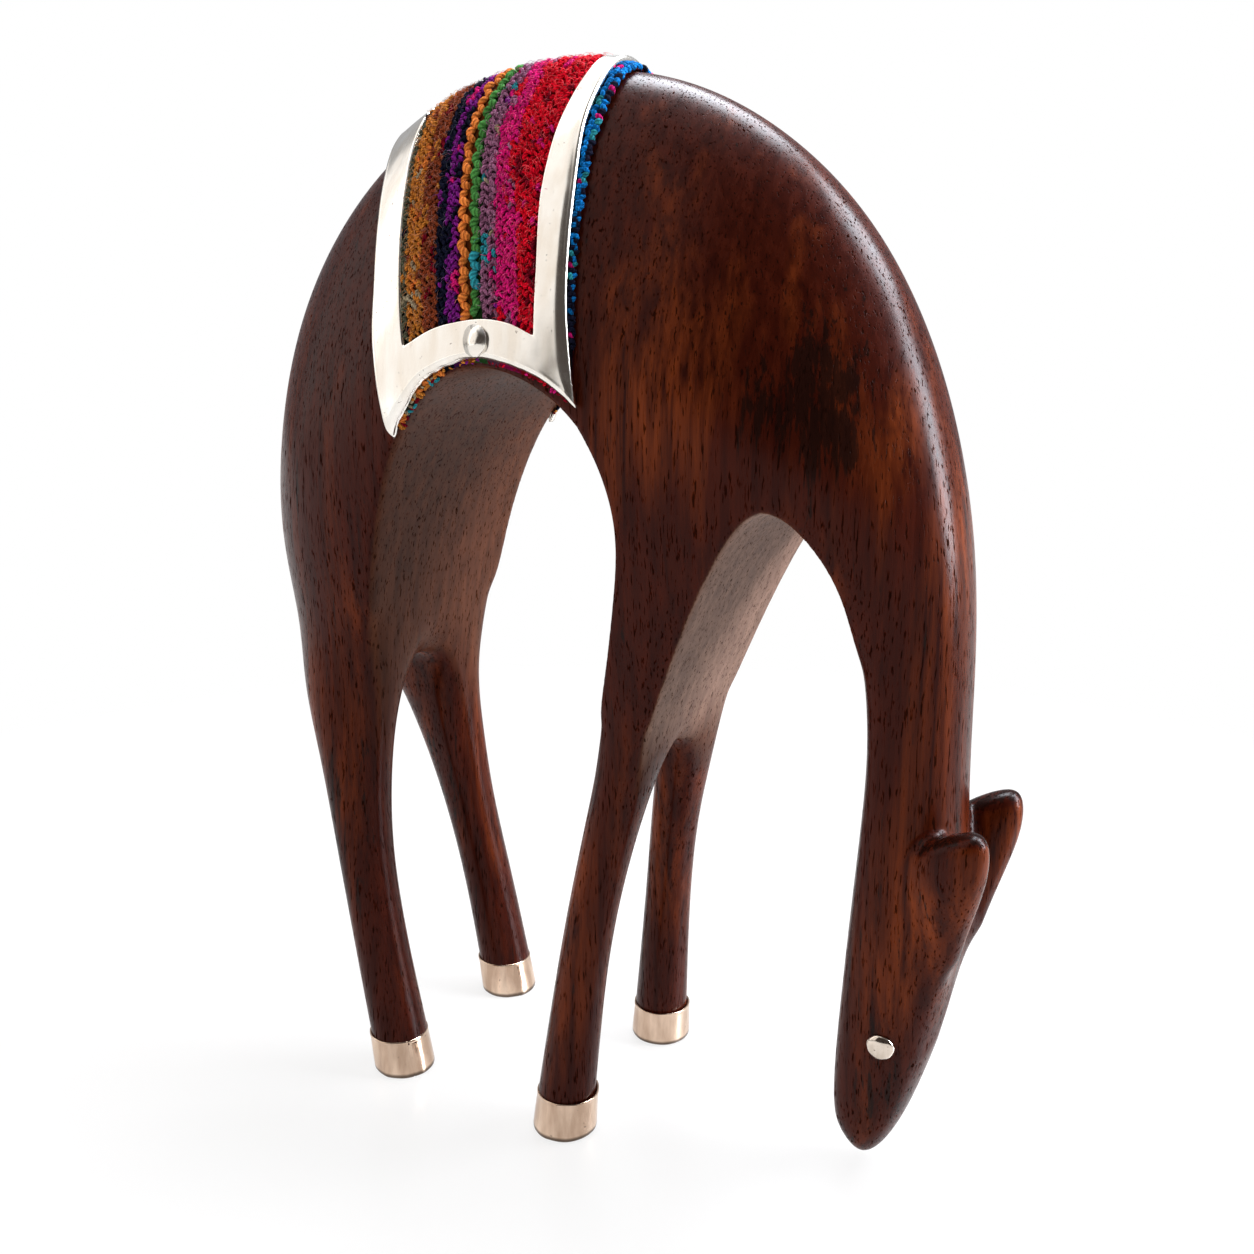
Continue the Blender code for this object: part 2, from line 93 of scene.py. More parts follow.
HEAD_RIBS = [
    Rib((87.5, 90), (67, 88), 8.5, 14, 15.5, 12),
    Rib((89, 70), (65, 68), 9, 14.5, 14.5, 10.5),
    Rib((88, 48), (63.2, 46), 9, 12.5, 12.5, 9),
    Rib((81.5, 25), (61.8, 24), 7, 10, 10.5, 8),
    Rib((76, 9.6), (62.3, 9.6), 5.8, 8.6, 8.8, 6.6),
]
Slab = namedtuple("Slab", "rear front rear_width side_width front_width")
FRONT_SLABS = [
    Slab((17.5, 153), (41.5, 149), 28.5, 28.5, 26.5),
    Slab((15, 135), (33.5, 134), 26.5, 27, 25),
    Slab((11.6, 116), (26, 116), 24.5, 25, 23),
    Slab((8.8, 104), (21.3, 104), 23.5, 24, 22),
]
# The lowest ring of each leg lies below the cap's rim, so that the wood runs into the cap.
Ring = namedtuple("Ring", "x y z depth width")
HIND_RINGS = [
    Ring(-71, 15.5, 101, 14, 11.5),
    Ring(-67.7, 19.5, 83, 9.8, 8.3),
    Ring(-63.8, 22.5, 60, 7.2, 6.8),
    Ring(-58, 24, 34, 6.9, 6.8),
    Ring(-52.8, 24, 8.6, 7.4, 7.3),
]
FRONT_RINGS = [
    Ring(12.2, 15, 90, 6.6, 8.5),
    Ring(7.5, 18, 70, 6.1, 6.3),
    Ring(3.7, 21.5, 45, 5.8, 5.8),
    Ring(0.3, 24.2, 8.6, 7.1, 7.1),
]
OVAL_CAGE = 1.0 / (2 / 3 + math.cos(math.radians(45)) / 3)
HIND_FORK = ((-57.5, 108), (-87, 106))
FRONT_FORK = ((18, 96), (10.5, 95.8))
# The inner corners of each top ring stand high, so that the fork is round and wide: their y and z.
HIND_SHOULDER = (7.5, 106)
FRONT_SHOULDER = (7, 94.5)
EarRing = namedtuple("EarRing", "rear front inner outer_rear outer_front")
EAR_RINGS = [
    EarRing((80, 36), (84, 37), 2.5, 7.5, 6),
    EarRing((79, 55), (89.3, 56.5), 4, 11.2, 11.2),
    EarRing((78, 69), (93.2, 71), 5.5, 13.8, 16),
    EarRing((77.5, 79), (97.8, 84.5), 7.5, 15.8, 21.6),
    EarRing((79.5, 86.6), (96.4, 96), 9.5, 15.6, 20.8),
]
EAR_CREASE = 0.15
NOSE_TIP = ((69, 0, 1.2), (69, 5.3, 1.8))

CAP_HEIGHT = 10.0
CAP_TOP_RADIUS = 7.6
CAP_FLOOR_RADIUS = 7.9
CAP_SEAM = -math.radians(31)
HIND_CAP_X = (-51.6, -53.3)
HIND_CAP_Y = (24, 24)
FRONT_CAP_X = (0, 0.7)
FRONT_CAP_Y = (24.7, 24)
EYE = (74.8, 37.2)
EYE_RADIUS = 3.1
RIVET = (-13.8, 189.3)
RIVET_RADIUS = 3.2

SILVER_SLOT = "silver"


def at(x, y, z):
    return Vector(((x - ORIGIN_X) * MM, y * MM, z * MM))


def to_metres(points):
    """Side view millimetres as rows of metres in the frame of the part."""
    return (np.asarray(points, float) - (ORIGIN_X, 0, 0)) * MM


def link(obj):
    bpy.context.scene.collection.objects.link(obj)
    return obj


def grid_mesh(name, points, faces, uv=None, material_index=None, smooth=True):
    """An object from arrays: points in metres, faces as rows of indices, one uv pair for each point."""
    data = bpy.data.meshes.new(name)
    data.from_pydata(points.tolist(), [], faces if isinstance(faces, list) else faces.tolist())
    if uv is not None:
        layer = data.uv_layers.new(name="UVMap")
        corner = np.zeros(len(data.loops), int)
        data.loops.foreach_get("vertex_index", corner)
        layer.data.foreach_set("uv", np.asarray(uv, float)[corner].ravel())
    if material_index is not None:
        data.polygons.foreach_set("material_index", np.asarray(material_index, int))
    if smooth:
        data.polygons.foreach_set("use_smooth", np.ones(len(data.polygons), bool))
    data.update()
    return link(bpy.data.objects.new(name, data))


def tube_faces(rows, sides, start=0):
    """The faces of a closed tube: rows of so many points, and a flat end on both sides."""
    faces = []
    for row in range(rows - 1):
        for side in range(sides):
            a, b = (start + row * sides + k for k in (side, (side + 1) % sides))
            faces.append((a, b, b + sides, a + sides))
    last = start + (rows - 1) * sides
    return faces + [tuple(range(start + sides - 1, start - 1, -1)), tuple(range(last, last + sides))]


def fade(values, start, end):
    """0 at start and 1 at end, smoothly."""
    t = np.clip((values - start) / (end - start), 0, 1)
    return t * t * (3 - 2 * t)


def distance_to(points, line):
    """For each point how far it is from the nearest of a line's points."""
    far = np.full(len(points), np.inf)
    for start in range(0, len(line), 60):
        gaps = np.linalg.norm(points[:, None] - line[None, start:start + 60], axis=-1)
        far = np.minimum(far, gaps.min(axis=1))
    return far


def vertex_array(data):
    points = np.zeros(len(data.vertices) * 3)
    data.vertices.foreach_get("co", points)
    return points.reshape(-1, 3)


def point_value(obj, name, values):
    """Stores one number for each vertex, for the material."""
    layer = obj.data.attributes.new(name, "FLOAT", "POINT")
    layer.data.foreach_set("value", np.asarray(values, np.float32))


# The wood


def rib_points(rib):
    """Half of a rib, from the crest to the middle of the belly."""
    (crest_x, crest_z), (belly_x, belly_z) = rib.crest, rib.belly
    widths = (0, rib.shoulder, rib.upper, rib.lower, rib.edge, 0)
    return [at(crest_x + (belly_x - crest_x) * share, width, crest_z + (belly_z - crest_z) * share)
            for share, width in zip(RIB_SHARES, widths)]


def slab_points(slab):
    """Half of a slab, from the middle of its rear face round to the middle of its front face."""
    (rear_x, rear_z), (front_x, front_z) = slab.rear, slab.front
    shares = (0, 0, 1 / 3, 2 / 3, 1, 1)
    widths = (0, slab.rear_width, slab.side_width, slab.side_width, slab.front_width, 0)
    return [at(rear_x + (front_x - rear_x) * share, width, rear_z + (front_z - rear_z) * share)
            for share, width in zip(shares, widths)]


def ring_points(ring):
    """The eight points round a leg, from its rear by its outer side to its front and back inside."""
    points = []
    for index in range(8):
        angle = math.radians(45 * index - 22.5)
        x = ring.x - ring.depth * OVAL_CAGE * math.cos(angle)
        y = ring.y + ring.width * OVAL_CAGE * math.sin(angle)
        points.append(at(x, y, ring.z))
    return points


class Cage:
    """A body of quads, or half of one on the +Y side, open at y = 0."""

    def __init__(self):
        self.mesh = bmesh.new()
        self.crease = self.mesh.edges.layers.float.new("crease_edge")

    def row(self, points):
        return [self.mesh.verts.new(point) for point in points]

    def strip(self, row, following):
        for index in range(len(row) - 1):
            self.mesh.faces.new((row[index], row[index + 1], following[index + 1], following[index]))

    def tube(self, ring, following):
        self.strip(ring + ring[:1], following + following[:1])

    def sharpen(self, line, crease):
        for first, second in zip(line, line[1:]):
            self.mesh.edges.get((first, second))[self.crease] = crease


def leg(cage, slab_row, fork, shoulder, rings):
    """The leg below a half slab: the fork between the legs, then ring after ring down to the hoof."""
    (front_x, front_z), (rear_x, rear_z) = fork
    front_roof = cage.mesh.verts.new(at(front_x, 0, front_z))
    rear_roof = cage.mesh.verts.new(at(rear_x, 0, rear_z))
    rows = [cage.row(ring_points(ring)) for ring in rings]
    top = rows[0]
    for vert in top[6:]:
        vert.co.y, vert.co.z = shoulder[0] * MM, shoulder[1] * MM
    cage.strip(slab_row, top[:6])
    cage.mesh.faces.new((slab_row[5], front_roof, top[6], top[5]))
    cage.mesh.faces.new((front_roof, rear_roof, top[7], top[6]))
    cage.mesh.faces.new((rear_roof, slab_row[0], top[0], top[7]))
    for ring, following in zip(rows, rows[1:]):
        cage.tube(ring, following)
    sole = rows[-1]
    cage.mesh.faces.new(sole)
    cage.sharpen(sole + sole[:1], FULL_CREASE)
    cage.sharpen([front_roof, top[6], rows[1][6], rows[2][6]], FORK_CREASE)
    return rows


def body_cage():
    """The coarse cage of the whole animal without its ears."""
    cage = Cage()
    arch = HIND_RIBS + TORSO_RIBS + SHOULDER_RIBS + NECK_RIBS + HEAD_RIBS
    ribs = [cage.row(rib_points(rib)) for rib in arch]
    first = len(HIND_RIBS) + len(TORSO_RIBS)
    last = first + len(SHOULDER_RIBS) - 1
    for index, (rib, following) in enumerate(zip(ribs, ribs[1:])):
        points = 5 if first <= index < last else 6
        cage.strip(following[:points], rib[:points])
    cage.sharpen([rib[4] for rib in ribs[:first + 1]], EDGE_CREASE)
    cage.sharpen([rib[4] for rib in ribs[last:last + len(NECK_RIBS)]], EDGE_CREASE)

    muzzle = ribs[-1]
    tip_low = cage.mesh.verts.new(at(*NOSE_TIP[0]))
    tip_side = cage.mesh.verts.new(at(*NOSE_TIP[1]))
    cage.mesh.faces.new((muzzle[0], muzzle[1], tip_side, tip_low))
    cage.mesh.faces.new((muzzle[1], muzzle[2], muzzle[3], tip_side))
    cage.mesh.faces.new((muzzle[3], muzzle[4], muzzle[5], tip_low, tip_side))

    hind = leg(cage, ribs[0], HIND_FORK, HIND_SHOULDER, HIND_RINGS)
    cage.sharpen([ribs[0][4]] + [row[4] for row in hind[:3]], LEG_CREASE)

    opening = [ribs[first][5]] + [ribs[index][4] for index in range(first, last + 1)] + [ribs[last][5]]
    slabs = [opening] + [cage.row(slab_points(slab)) for slab in FRONT_SLABS]
    for slab, following in zip(slabs, slabs[1:]):
        cage.strip(slab, following)
    front = leg(cage, slabs[-1], FRONT_FORK, FRONT_SHOULDER, FRONT_RINGS)
    for corner in (1, 4):
        cage.sharpen([slab[corner] for slab in slabs], EDGE_CREASE)
        cage.sharpen([slabs[-1][corner], front[0][corner], front[1][corner]], LEG_CREASE)
    bmesh.ops.recalc_face_normals(cage.mesh, faces=cage.mesh.faces[:])
    return cage.mesh


def ear_cage(side):
    """One ear, a leaf with a flat cut top."""
    cage = Cage()
    rows = []
    for ring in EAR_RINGS:
        corners = ((ring.rear, ring.inner), (ring.rear, ring.outer_rear), (ring.front, ring.outer_front),
                   (ring.front, ring.inner))
        rows.append(cage.row([at(x, side * width, z) for (x, z), width in corners]))
    for ring, following in zip(rows, rows[1:]):
        cage.tube(ring, following)
    cage.mesh.faces.new(rows[0])
    cage.mesh.faces.new(rows[-1])
    cage.sharpen(rows[-1] + rows[-1][:1], EAR_CREASE)
    bmesh.ops.recalc_face_normals(cage.mesh, faces=cage.mesh.faces[:])
    return cage.mesh


def bake(obj):
    """Gives an object the mesh that its modifiers make, and removes them."""
    bpy.context.view_layer.update()
    graph = bpy.context.evaluated_depsgraph_get()
    data = bpy.data.meshes.new_from_object(obj.evaluated_get(graph))
    obj.modifiers.clear()
    obj.data = data


def object_of(name, mesh):
    """An object with the faces of a bmesh, which is used up."""
    data = bpy.data.meshes.new(name)
    mesh.to_mesh(data)
    mesh.free()
    return link(bpy.data.objects.new(name, data))


def smooth_object(name, mesh, mirrored):
    obj = object_of(name, mesh)
    if mirrored:
        mirror = obj.modifiers.new("Mirror", "MIRROR")
        mirror.use_axis = (False, True, False)
        mirror.use_clip = True
        mirror.merge_threshold = 0.01 * MM
    smooth = obj.modifiers.new("Smooth", "SUBSURF")
    smooth.levels = smooth.render_levels = SMOOTH_LEVEL
    bake(obj)
    return obj


def tree_of(obj):
    return BVHTree.FromObject(obj, bpy.context.evaluated_depsgraph_get())


VOXEL = 0.62
# The fillet's reach at the ear's top and along its lower part, and the heights between which it changes.
FILLET_REACH = (2.2, 4.0)
FILLET_CHANGE = (87, 76)
FILLET_STEPS = 160
# Below the first height the ear is part of the cheek, and above the second it stands out in full.
EAR_ROOT = (34, 57)
# The ears lie beyond this x and between these heights, in millimetres of the part's own frame.
EARS_BEYOND = 70
EARS_BETWEEN = (30, 100)


def nearest(tree, points):
    """For each point the nearest one on the tree's surface, and how far it is."""
    found = np.zeros_like(points)
    far = np.zeros(len(points))
    for index, point in enumerate(points):
        place, _, _, distance = tree.find_nearest(point)
        found[index] = place
        far[index] = distance
    return found, far


def wood_skin(body, ears):
    """One continuous skin of body and ears. It lies on their smooth surfaces, apart from the hollow fillet
    where an ear grows out of the head."""
    source = bmesh.new()
    for obj in [body] + ears:
        source.from_mesh(obj.data)
    skin = object_of("wood_skin", source)
    remesh = skin.modifiers.new("Remesh", "REMESH")
    remesh.mode = "VOXEL"
    remesh.voxel_size = VOXEL * MM
    bake(skin)

    points = vertex_array(skin.data)
    on_body, body_far = nearest(tree_of(body), points)
    height = points[:, 2] / MM
    near_head = (points[:, 0] / MM > EARS_BEYOND) & (height > EARS_BETWEEN[0]) & (height < EARS_BETWEEN[1])
    chosen = np.flatnonzero(near_head)
    on_ear = on_body.copy()
    ear_far = np.full(len(points), np.inf)
    for ear in ears:
        place, far = nearest(tree_of(ear), points[chosen])
        closer = far < ear_far[chosen]
        on_ear[chosen[closer]] = place[closer]
        ear_far[chosen[closer]] = far[closer]
    grown = (fade(height, *EAR_ROOT) * (ear_far < body_far))[:, None]
    points = on_body + (on_ear - on_body) * grown
    reach = FILLET_REACH[0] + (FILLET_REACH[1] - FILLET_REACH[0]) * fade(height, *FILLET_CHANGE)
    soft = fade(np.maximum(body_far, ear_far) / MM, reach, 0.4 * reach)
    junction = soft > 0

    edges = np.zeros(len(skin.data.edges) * 2, int)
    skin.data.edges.foreach_get("vertices", edges)
    edges = edges.reshape(-1, 2)
    edges = edges[junction[edges].any(axis=1)]
    ends = np.concatenate([edges, edges[:, ::-1]])
    count = np.maximum(np.bincount(ends[:, 0], minlength=len(points)), 1)
    for _ in range(FILLET_STEPS):
        for axis in range(3):
            total = np.bincount(ends[:, 0], weights=points[ends[:, 1], axis], minlength=len(points))
            shift = 0.5 * soft * (total / count - points[:, axis])
            points[junction, axis] += shift[junction]
    skin.data.vertices.foreach_set("co", points.ravel())
    skin.data.update()
    skin.data.polygons.foreach_set("use_smooth", np.ones(len(skin.data.polygons), bool))
    return skin


# The saddle. It follows the wood by its radius round a line along the middle of the body.


def cubic_shares(t):
    """The weights of four neighbours in a smooth curve, at t between the two in the middle."""
    return np.stack([((-0.5 * t + 1) * t - 0.5) * t, (1.5 * t - 2.5) * t * t + 1,
                     ((-1.5 * t + 2) * t + 0.5) * t, (0.5 * t - 0.5) * t * t])


def smooth_line(points, steps=24):
    """A smooth line of many points through a few, as in a drawn curve."""
    points = np.array(points, float)
    padded = np.vstack([2 * points[0] - points[1], points, 2 * points[-1] - points[-2]])
    shares = cubic_shares(np.arange(steps) / steps)[..., None]
    parts = [sum(shares[k] * padded[index + k] for k in range(4)) for index in range(len(points) - 1)]
    return np.vstack(parts + [points[-1:]])


# Side view lines of the saddle, from its low corners up over the back, and from rear to front.
ABOVE_BACK = 262
REAR_OUTER = smooth_line([(-40, 168), (-43.8, 185), (-46.7, 203), (-50.8, 221), (-53.3, 235),
                          (-54, ABOVE_BACK)])
REAR_INNER = smooth_line([(-33.8, 188), (-37.3, 203), (-41, 220), (-43.5, 234), (-44.5, ABOVE_BACK)])
BAR_TOP = smooth_line([(-33.8, 188), (-25, 191.8), (-14.5, 193.5), (-7, 192.8), (-0.7, 190.3)])
FRONT_INNER = smooth_line([(-0.7, 190.3), (-1.8, 204), (-3.5, 218), (-3.4, 230), (-1.8, 239),
                           (-0.4, 245), (-1, 250), (-2, ABOVE_BACK)])
FRONT_OUTER = smooth_line([(9.4, 175.5), (6.2, 197), (4.3, 218), (3.2, 232), (4, 243), (4.5, 250),
                           (4.5, ABOVE_BACK)])
BAR_BOTTOM = smooth_line([(-40, 168), (-36.2, 173.5), (-28, 181.4), (-15, 185.4), (-1, 182.1), (9.4, 175.5)])
CLOTH_REAR = smooth_line([(-36.2, 173), (-41.8, 190), (-45.5, 210), (-48, 228), (-49, ABOVE_BACK)])
CLOTH_FRONT = smooth_line([(8, 177.5), (7.7, 190), (6.3, 205), (5.6, 218), (5.4, 230),
                          (6.6, 243), (7.3, 250), (7.3, ABOVE_BACK)])
CLOTH_BOTTOM = smooth_line([(-36.2, 173), (-27.5, 181), (-15, 184.8), (-1, 181.5), (8, 177.5)])


class Back:
    """The wood's surface for any x and any angle from straight up, negative on the near side."""

    MIDDLE = 200.0
    FIRST, END, STEP = -64.0, 22.0, 1.0
    TURN = math.radians(2)
    REACH = math.radians(150)
    LOWEST = math.radians(144)
    NUDGE, NUDGE_TURN = 0.3, math.radians(0.5)

    def __init__(self, tree):
        xs = np.arange(self.FIRST, self.END, self.STEP)
        angles = np.arange(-self.REACH, self.REACH + self.TURN / 2, self.TURN)
        self.radii = np.zeros((len(xs), len(angles)))
        for row, x in enumerate(xs):
            start = at(x, 0, self.MIDDLE)
            for column, angle in enumerate(angles):
                hit = tree.ray_cast(start, Vector((0, math.sin(angle), math.cos(angle))))
                self.radii[row, column] = hit[3] / MM

    def radius(self, x, angle):
        u = (np.asarray(x, float) - self.FIRST) / self.STEP
        v = (np.asarray(angle, float) + self.REACH) / self.TURN
        i = np.clip(np.floor(u).astype(int), 1, self.radii.shape[0] - 3)
        j = np.clip(np.floor(v).astype(int), 1, self.radii.shape[1] - 3)
        along, across = cubic_shares(u - i), cubic_shares(v - j)
        total = 0
        for p in range(4):
            for q in range(4):
                total = total + along[p] * across[q] * self.radii[i + p - 1, j + q - 1]
        return total

    def bare(self, x, angle):
        radius = self.radius(x, angle)
        flat = np.zeros_like(radius)
        return np.stack([x + flat, radius * np.sin(angle), self.MIDDLE + radius * np.cos(angle)], -1)

    def frame(self, x, angle):
        """Point on the wood, direction along the body, direction round it, and outward normal."""
        point = self.bare(x, angle)
        along = self.bare(x + self.NUDGE, angle) - self.bare(x - self.NUDGE, angle)
        round_it = self.bare(x, angle + self.NUDGE_TURN) - self.bare(x, angle - self.NUDGE_TURN)
        along /= np.linalg.norm(along, axis=-1, keepdims=True)
        out = np.cross(along, round_it)
        out /= np.linalg.norm(out, axis=-1, keepdims=True)
        return point, along, np.cross(out, along), out

    def lifted(self, x, angle, height):
        point, _, _, out = self.frame(x, angle)
        return point + out * np.asarray(height)[..., None]

    def height_of(self, x, angle):
        return self.MIDDLE + self.radius(x, angle) * np.cos(angle)

    def angle_at(self, x, z):
        """The angle, without its sign, at which the flank at x is as high as z."""
        x, z = np.broadcast_arrays(np.asarray(x, float), np.asarray(z, float))
        low, high = np.zeros(x.shape), np.full(x.shape, self.LOWEST)
        for _ in range(40):
            middle = (low + high) / 2
            above = self.height_of(x, middle) > z
            low, high = np.where(above, middle, low), np.where(above, high, middle)
        return (low + high) / 2


def x_at(line, z):
    """Where a line that rises over the back is at a height."""
    return np.interp(z, line[:, 1], line[:, 0])


def z_at(line, x):
    """How high a line that runs along the body is at x."""
    return np.interp(x, line[:, 0], line[:, 1])


def distances(path):
    """How far along the surface each point of a path lies. A row is x, angle and the point."""
    steps = np.linalg.norm(np.diff(path[:, 2:], axis=0), axis=1)
    return np.concatenate([[0], np.cumsum(steps)])


def rows_at(path, length, wanted):
    """A path's rows at the wanted distances along it."""
    return np.stack([np.interp(wanted, length, column) for column in path.T], -1)


def evenly(path, spacing=None, count=None):
    """A path with its points at even distances."""
    length = distances(path)
    count = count or max(int(round(length[-1] / spacing)) + 1, 2)
    return rows_at(path, length, np.linspace(0, length[-1], count))


def over_back(back, line_of_z, bottom, count=400):
    """A path over the back from the near side to the far one, at x = line_of_z(height)."""
    angles = np.linspace(-bottom, bottom, count)
    x = line_of_z(np.full(count, 220.0))
    for _ in range(12):
        x = line_of_z(back.height_of(x, angles))
    return np.column_stack([x, angles, back.bare(x, angles)])


def along_flank(back, line, side, count=160):
    """A path along the flank on one side, under a line in side view."""
    even = np.linspace(0, len(line) - 1, count)
    x, z = (np.interp(even, np.arange(len(line)), line[:, k]) for k in range(2))
    angle = side * back.angle_at(x, z)
    return np.column_stack([x, angle, back.bare(x, angle)])


# The silver frame. Heights are over the wood.

FLAT_HEIGHT = 2.95
FRAME_UNDERSIDE = 1.75
INNER_EDGE_HEIGHT = 2.0
INNER_ROUND = 0.45
STATION = 0.75
EDGE_SPACING = 0.05
FRAME_COLUMNS = 26
# The underside runs back at these shares of the width, and near the outer edge it comes down to the wood.
UNDER_SHARES = (0.86, 0.5, 0.14)
UNDER_EDGE = 0.3
UNDER_REACH = 2.0
# How the silver bends near its outer edge: the width of the rolled lip, then the width and the drop of the
# bend, and how high the edge stands.
Lip = namedtuple("Lip", "roll bend drop edge")
REAR_LIP = Lip(0.95, 0.01, 0.0, 0.75)
ARC_LIP = Lip(1.25, 0.01, 0.0, 0.75)
FRONT_LIP = Lip(0.5, 2.3, 0.6, 1.75)
# The front bar's bend grows from nothing to its full drop between these levels above the floor.
BEND_LEVELS = (238, 222)
# A fine bead along the lip: its height and its width.
BEAD = (0.07, 0.14)
# Long waves and small dents of hand worked sheet: features in a millimetre, height, and the noise's shift.
WAVES = (0.09, 0.132, (0, 0, 0))
DENTS = (0.3, 0.03, (7, 3, 5))


def frame_sides(back):
    """Each bar of the frame in turn round the window: its inner and its outer edge, and its lip."""

    def crossing(line):
        return over_back(back, lambda z: x_at(line, z), float(back.angle_at(*line[0])))

    return [
        (crossing(REAR_INNER), crossing(REAR_OUTER), REAR_LIP),
        (along_flank(back, BAR_TOP, 1), along_flank(back, BAR_BOTTOM, 1), ARC_LIP),
        (crossing(FRONT_INNER)[::-1], crossing(FRONT_OUTER)[::-1], FRONT_LIP),
        (along_flank(back, BAR_TOP, -1)[::-1], along_flank(back, BAR_BOTTOM, -1)[::-1], ARC_LIP),
    ]


def uneven_height(places, waves):
    scale, size, shift = waves
    return size * np.array([noise.noise(Vector(place) * scale + Vector(shift)) for place in places])


def frame_height(bare, from_inside, from_outside, lips):
    """How high the frame's upper face stands, by the distance from its two edges."""
    roll, bend, drop, low = (lips[:, k][:, None] for k in range(4))
    edge = np.clip(1 - from_outside / roll, 0, 1)
    bent = np.clip(1 - from_outside / bend, 0, 1)
    top = FLAT_HEIGHT - drop * bent ** 1.4 * fade(bare[..., 2], *BEND_LEVELS)
    height = low + (top - low) * np.sqrt(1 - edge ** 2)
    height += BEAD[0] * np.exp(-((from_outside - roll * 1.02) / BEAD[1]) ** 2)
    rim = np.clip(1 - from_inside / INNER_ROUND, 0, 1)
    height -= (FLAT_HEIGHT - INNER_EDGE_HEIGHT) * (1 - np.sqrt(1 - rim ** 2))
    places = bare.reshape(-1, 3)
    return height + (uneven_height(places, WAVES) + uneven_height(places, DENTS)).reshape(height.shape)


def saddle_frame(back):
    """The frame as one closed band round the window."""
    sides = frame_sides(back)
    inner, outer, lips = [], [], []
    for inside, outside, lip in sides:
        even = evenly(outside, spacing=STATION)
        inner.append(evenly(inside, count=len(even))[:-1])
        outer.append(even[:-1])
        lips += [lip] * (len(even) - 1)
    inner, outer, lips = np.vstack(inner), np.vstack(outer), np.array(lips)
    for _ in range(6):
        lips = (np.roll(lips, 1, 0) + 2 * lips + np.roll(lips, -1, 0)) / 4

    shares = (1 - np.cos(np.linspace(0, math.pi, FRAME_COLUMNS))) / 2
    columns = np.concatenate([shares, UNDER_SHARES])
    x, angle = (inner[:, None, k] + (outer - inner)[:, None, k] * columns for k in range(2))
    bare = back.bare(x, angle)
    edges = (np.vstack([evenly(side[k], spacing=EDGE_SPACING)[:, 2:] for side in sides]) for k in range(2))
    from_inside, from_outside = (distance_to(bare.reshape(-1, 3), edge).reshape(x.shape) for edge in edges)
    from_inside[:, 0], from_outside[:, FRAME_COLUMNS - 1] = 0, 0
    height = frame_height(bare, from_inside, from_outside, lips)
    inward = np.clip(from_outside / UNDER_REACH, 0, 1)
    below = FRAME_UNDERSIDE * inward + UNDER_EDGE * (1 - inward)
    height[:, FRAME_COLUMNS:] = below[:, FRAME_COLUMNS:]

    points = back.lifted(x, angle, height).reshape(-1, 3)
    stations, width = x.shape
    station, column = np.meshgrid(np.arange(stations), np.arange(width), indexing="ij")
    # The last columns run back under the plate, so the ring of columns closes on itself.
    ahead, beside = (station + 1) % stations, (column + 1) % width
    faces = np.stack([station * width + column, station * width + beside, ahead * width + beside,
                      ahead * width + column], -1).reshape(-1, 4)
    return grid_mesh("saddle_frame_silver", to_metres(points), faces)


# Knitted cloth

Stripe = namedtuple("Stripe", "color start columns")
# Stripes from the rear bar forward: a colour, the share of the knit's width at which it starts, and how many
# columns of stitches it has.
STRIPES = [
    Stripe("olive", 0.0, 1),
    Stripe("ochre", 0.042, 3),
    Stripe("rust", 0.152, 3),
    Stripe("navy", 0.258, 2),
    Stripe("violet", 0.320, 2),
    Stripe("orange", 0.397, 1),
    Stripe("green", 0.472, 1),
    Stripe("lilac", 0.540, 2),
    Stripe("magenta", 0.635, 3),
    Stripe("red", 0.755, 6),
]
# The front bar covers a part of the knit, more of it low on the flank: heights, and widths of knit for each
# width of window.
KNIT_COVER = [(190, 1.2), (212, 1.15), (236, 1.0)]
# Each stripe is spun with a little of other colours.
FLECKS = {
    "olive": ["navy", "beige", "ochre", "navy"],
    "ochre": ["orange", "rust", "beige"],
    "rust": ["wine", "ochre", "rust"],
    "navy": ["violet", "navy"],
    "violet": ["magenta", "navy"],
    "orange": ["orange"],
    "green": ["teal", "green", "green"],
    "lilac": ["violet", "magenta", "beige", "teal"],
    "magenta": ["magenta", "lilac", "red"],
    "red": ["wine", "magenta", "red"],
}
FLECK_SHARE = 0.2
YARN_COLORS = {
    "olive": (0.13, 0.125, 0.080),
    "ochre": (0.62, 0.22, 0.035),
    "rust": (0.30, 0.060, 0.021),
    "navy": (0.010, 0.011, 0.028),
    "violet": (0.24, 0.016, 0.26),
    "orange": (0.98, 0.225, 0.045),
    "green": (0.075, 0.27, 0.060),
    "lilac": (0.38, 0.145, 0.26),
    "magenta": (0.90, 0.014, 0.22),
    "red": (0.85, 0.005, 0.024),
    "wine": (0.22, 0.004, 0.016),
    "blue": (0.006, 0.20, 0.60),
    "teal": (0.03, 0.30, 0.36),
    "beige": (0.42, 0.34, 0.22),
}
YARNS = list(YARN_COLORS)
STITCH_PITCH = 1.8
THICK_PITCH = 1.95
KNIT_WIDTH = 41.5
KNIT_BASE = 1.9
STITCH_HEIGHT = 2.5
# How far stitches lean from their column, plain and thick ones, and how much that varies, in degrees.
LEAN, THICK_LEAN, LEAN_SPREAD = 30, 38, 12
THICK_YARNS = ("orange", "green")
# How far they sit beside the middle of their column, as a share of its width, plain and thick ones.
BESIDE, THICK_BESIDE = 0.23, 0.1
# Half a stitch's length, width and thickness, each from and to.
SIZES = ((0.85, 1.25), (0.36, 0.52), (0.45, 0.62))
THICK_SIZES = ((1.3, 1.65), (0.9, 1.15), (0.66, 0.82))


def yarn_at(share):
    names = [stripe.color for stripe in STRIPES if stripe.start <= share + 1e-6]
    return YARNS.index(names[-1] if names else STRIPES[0].color)


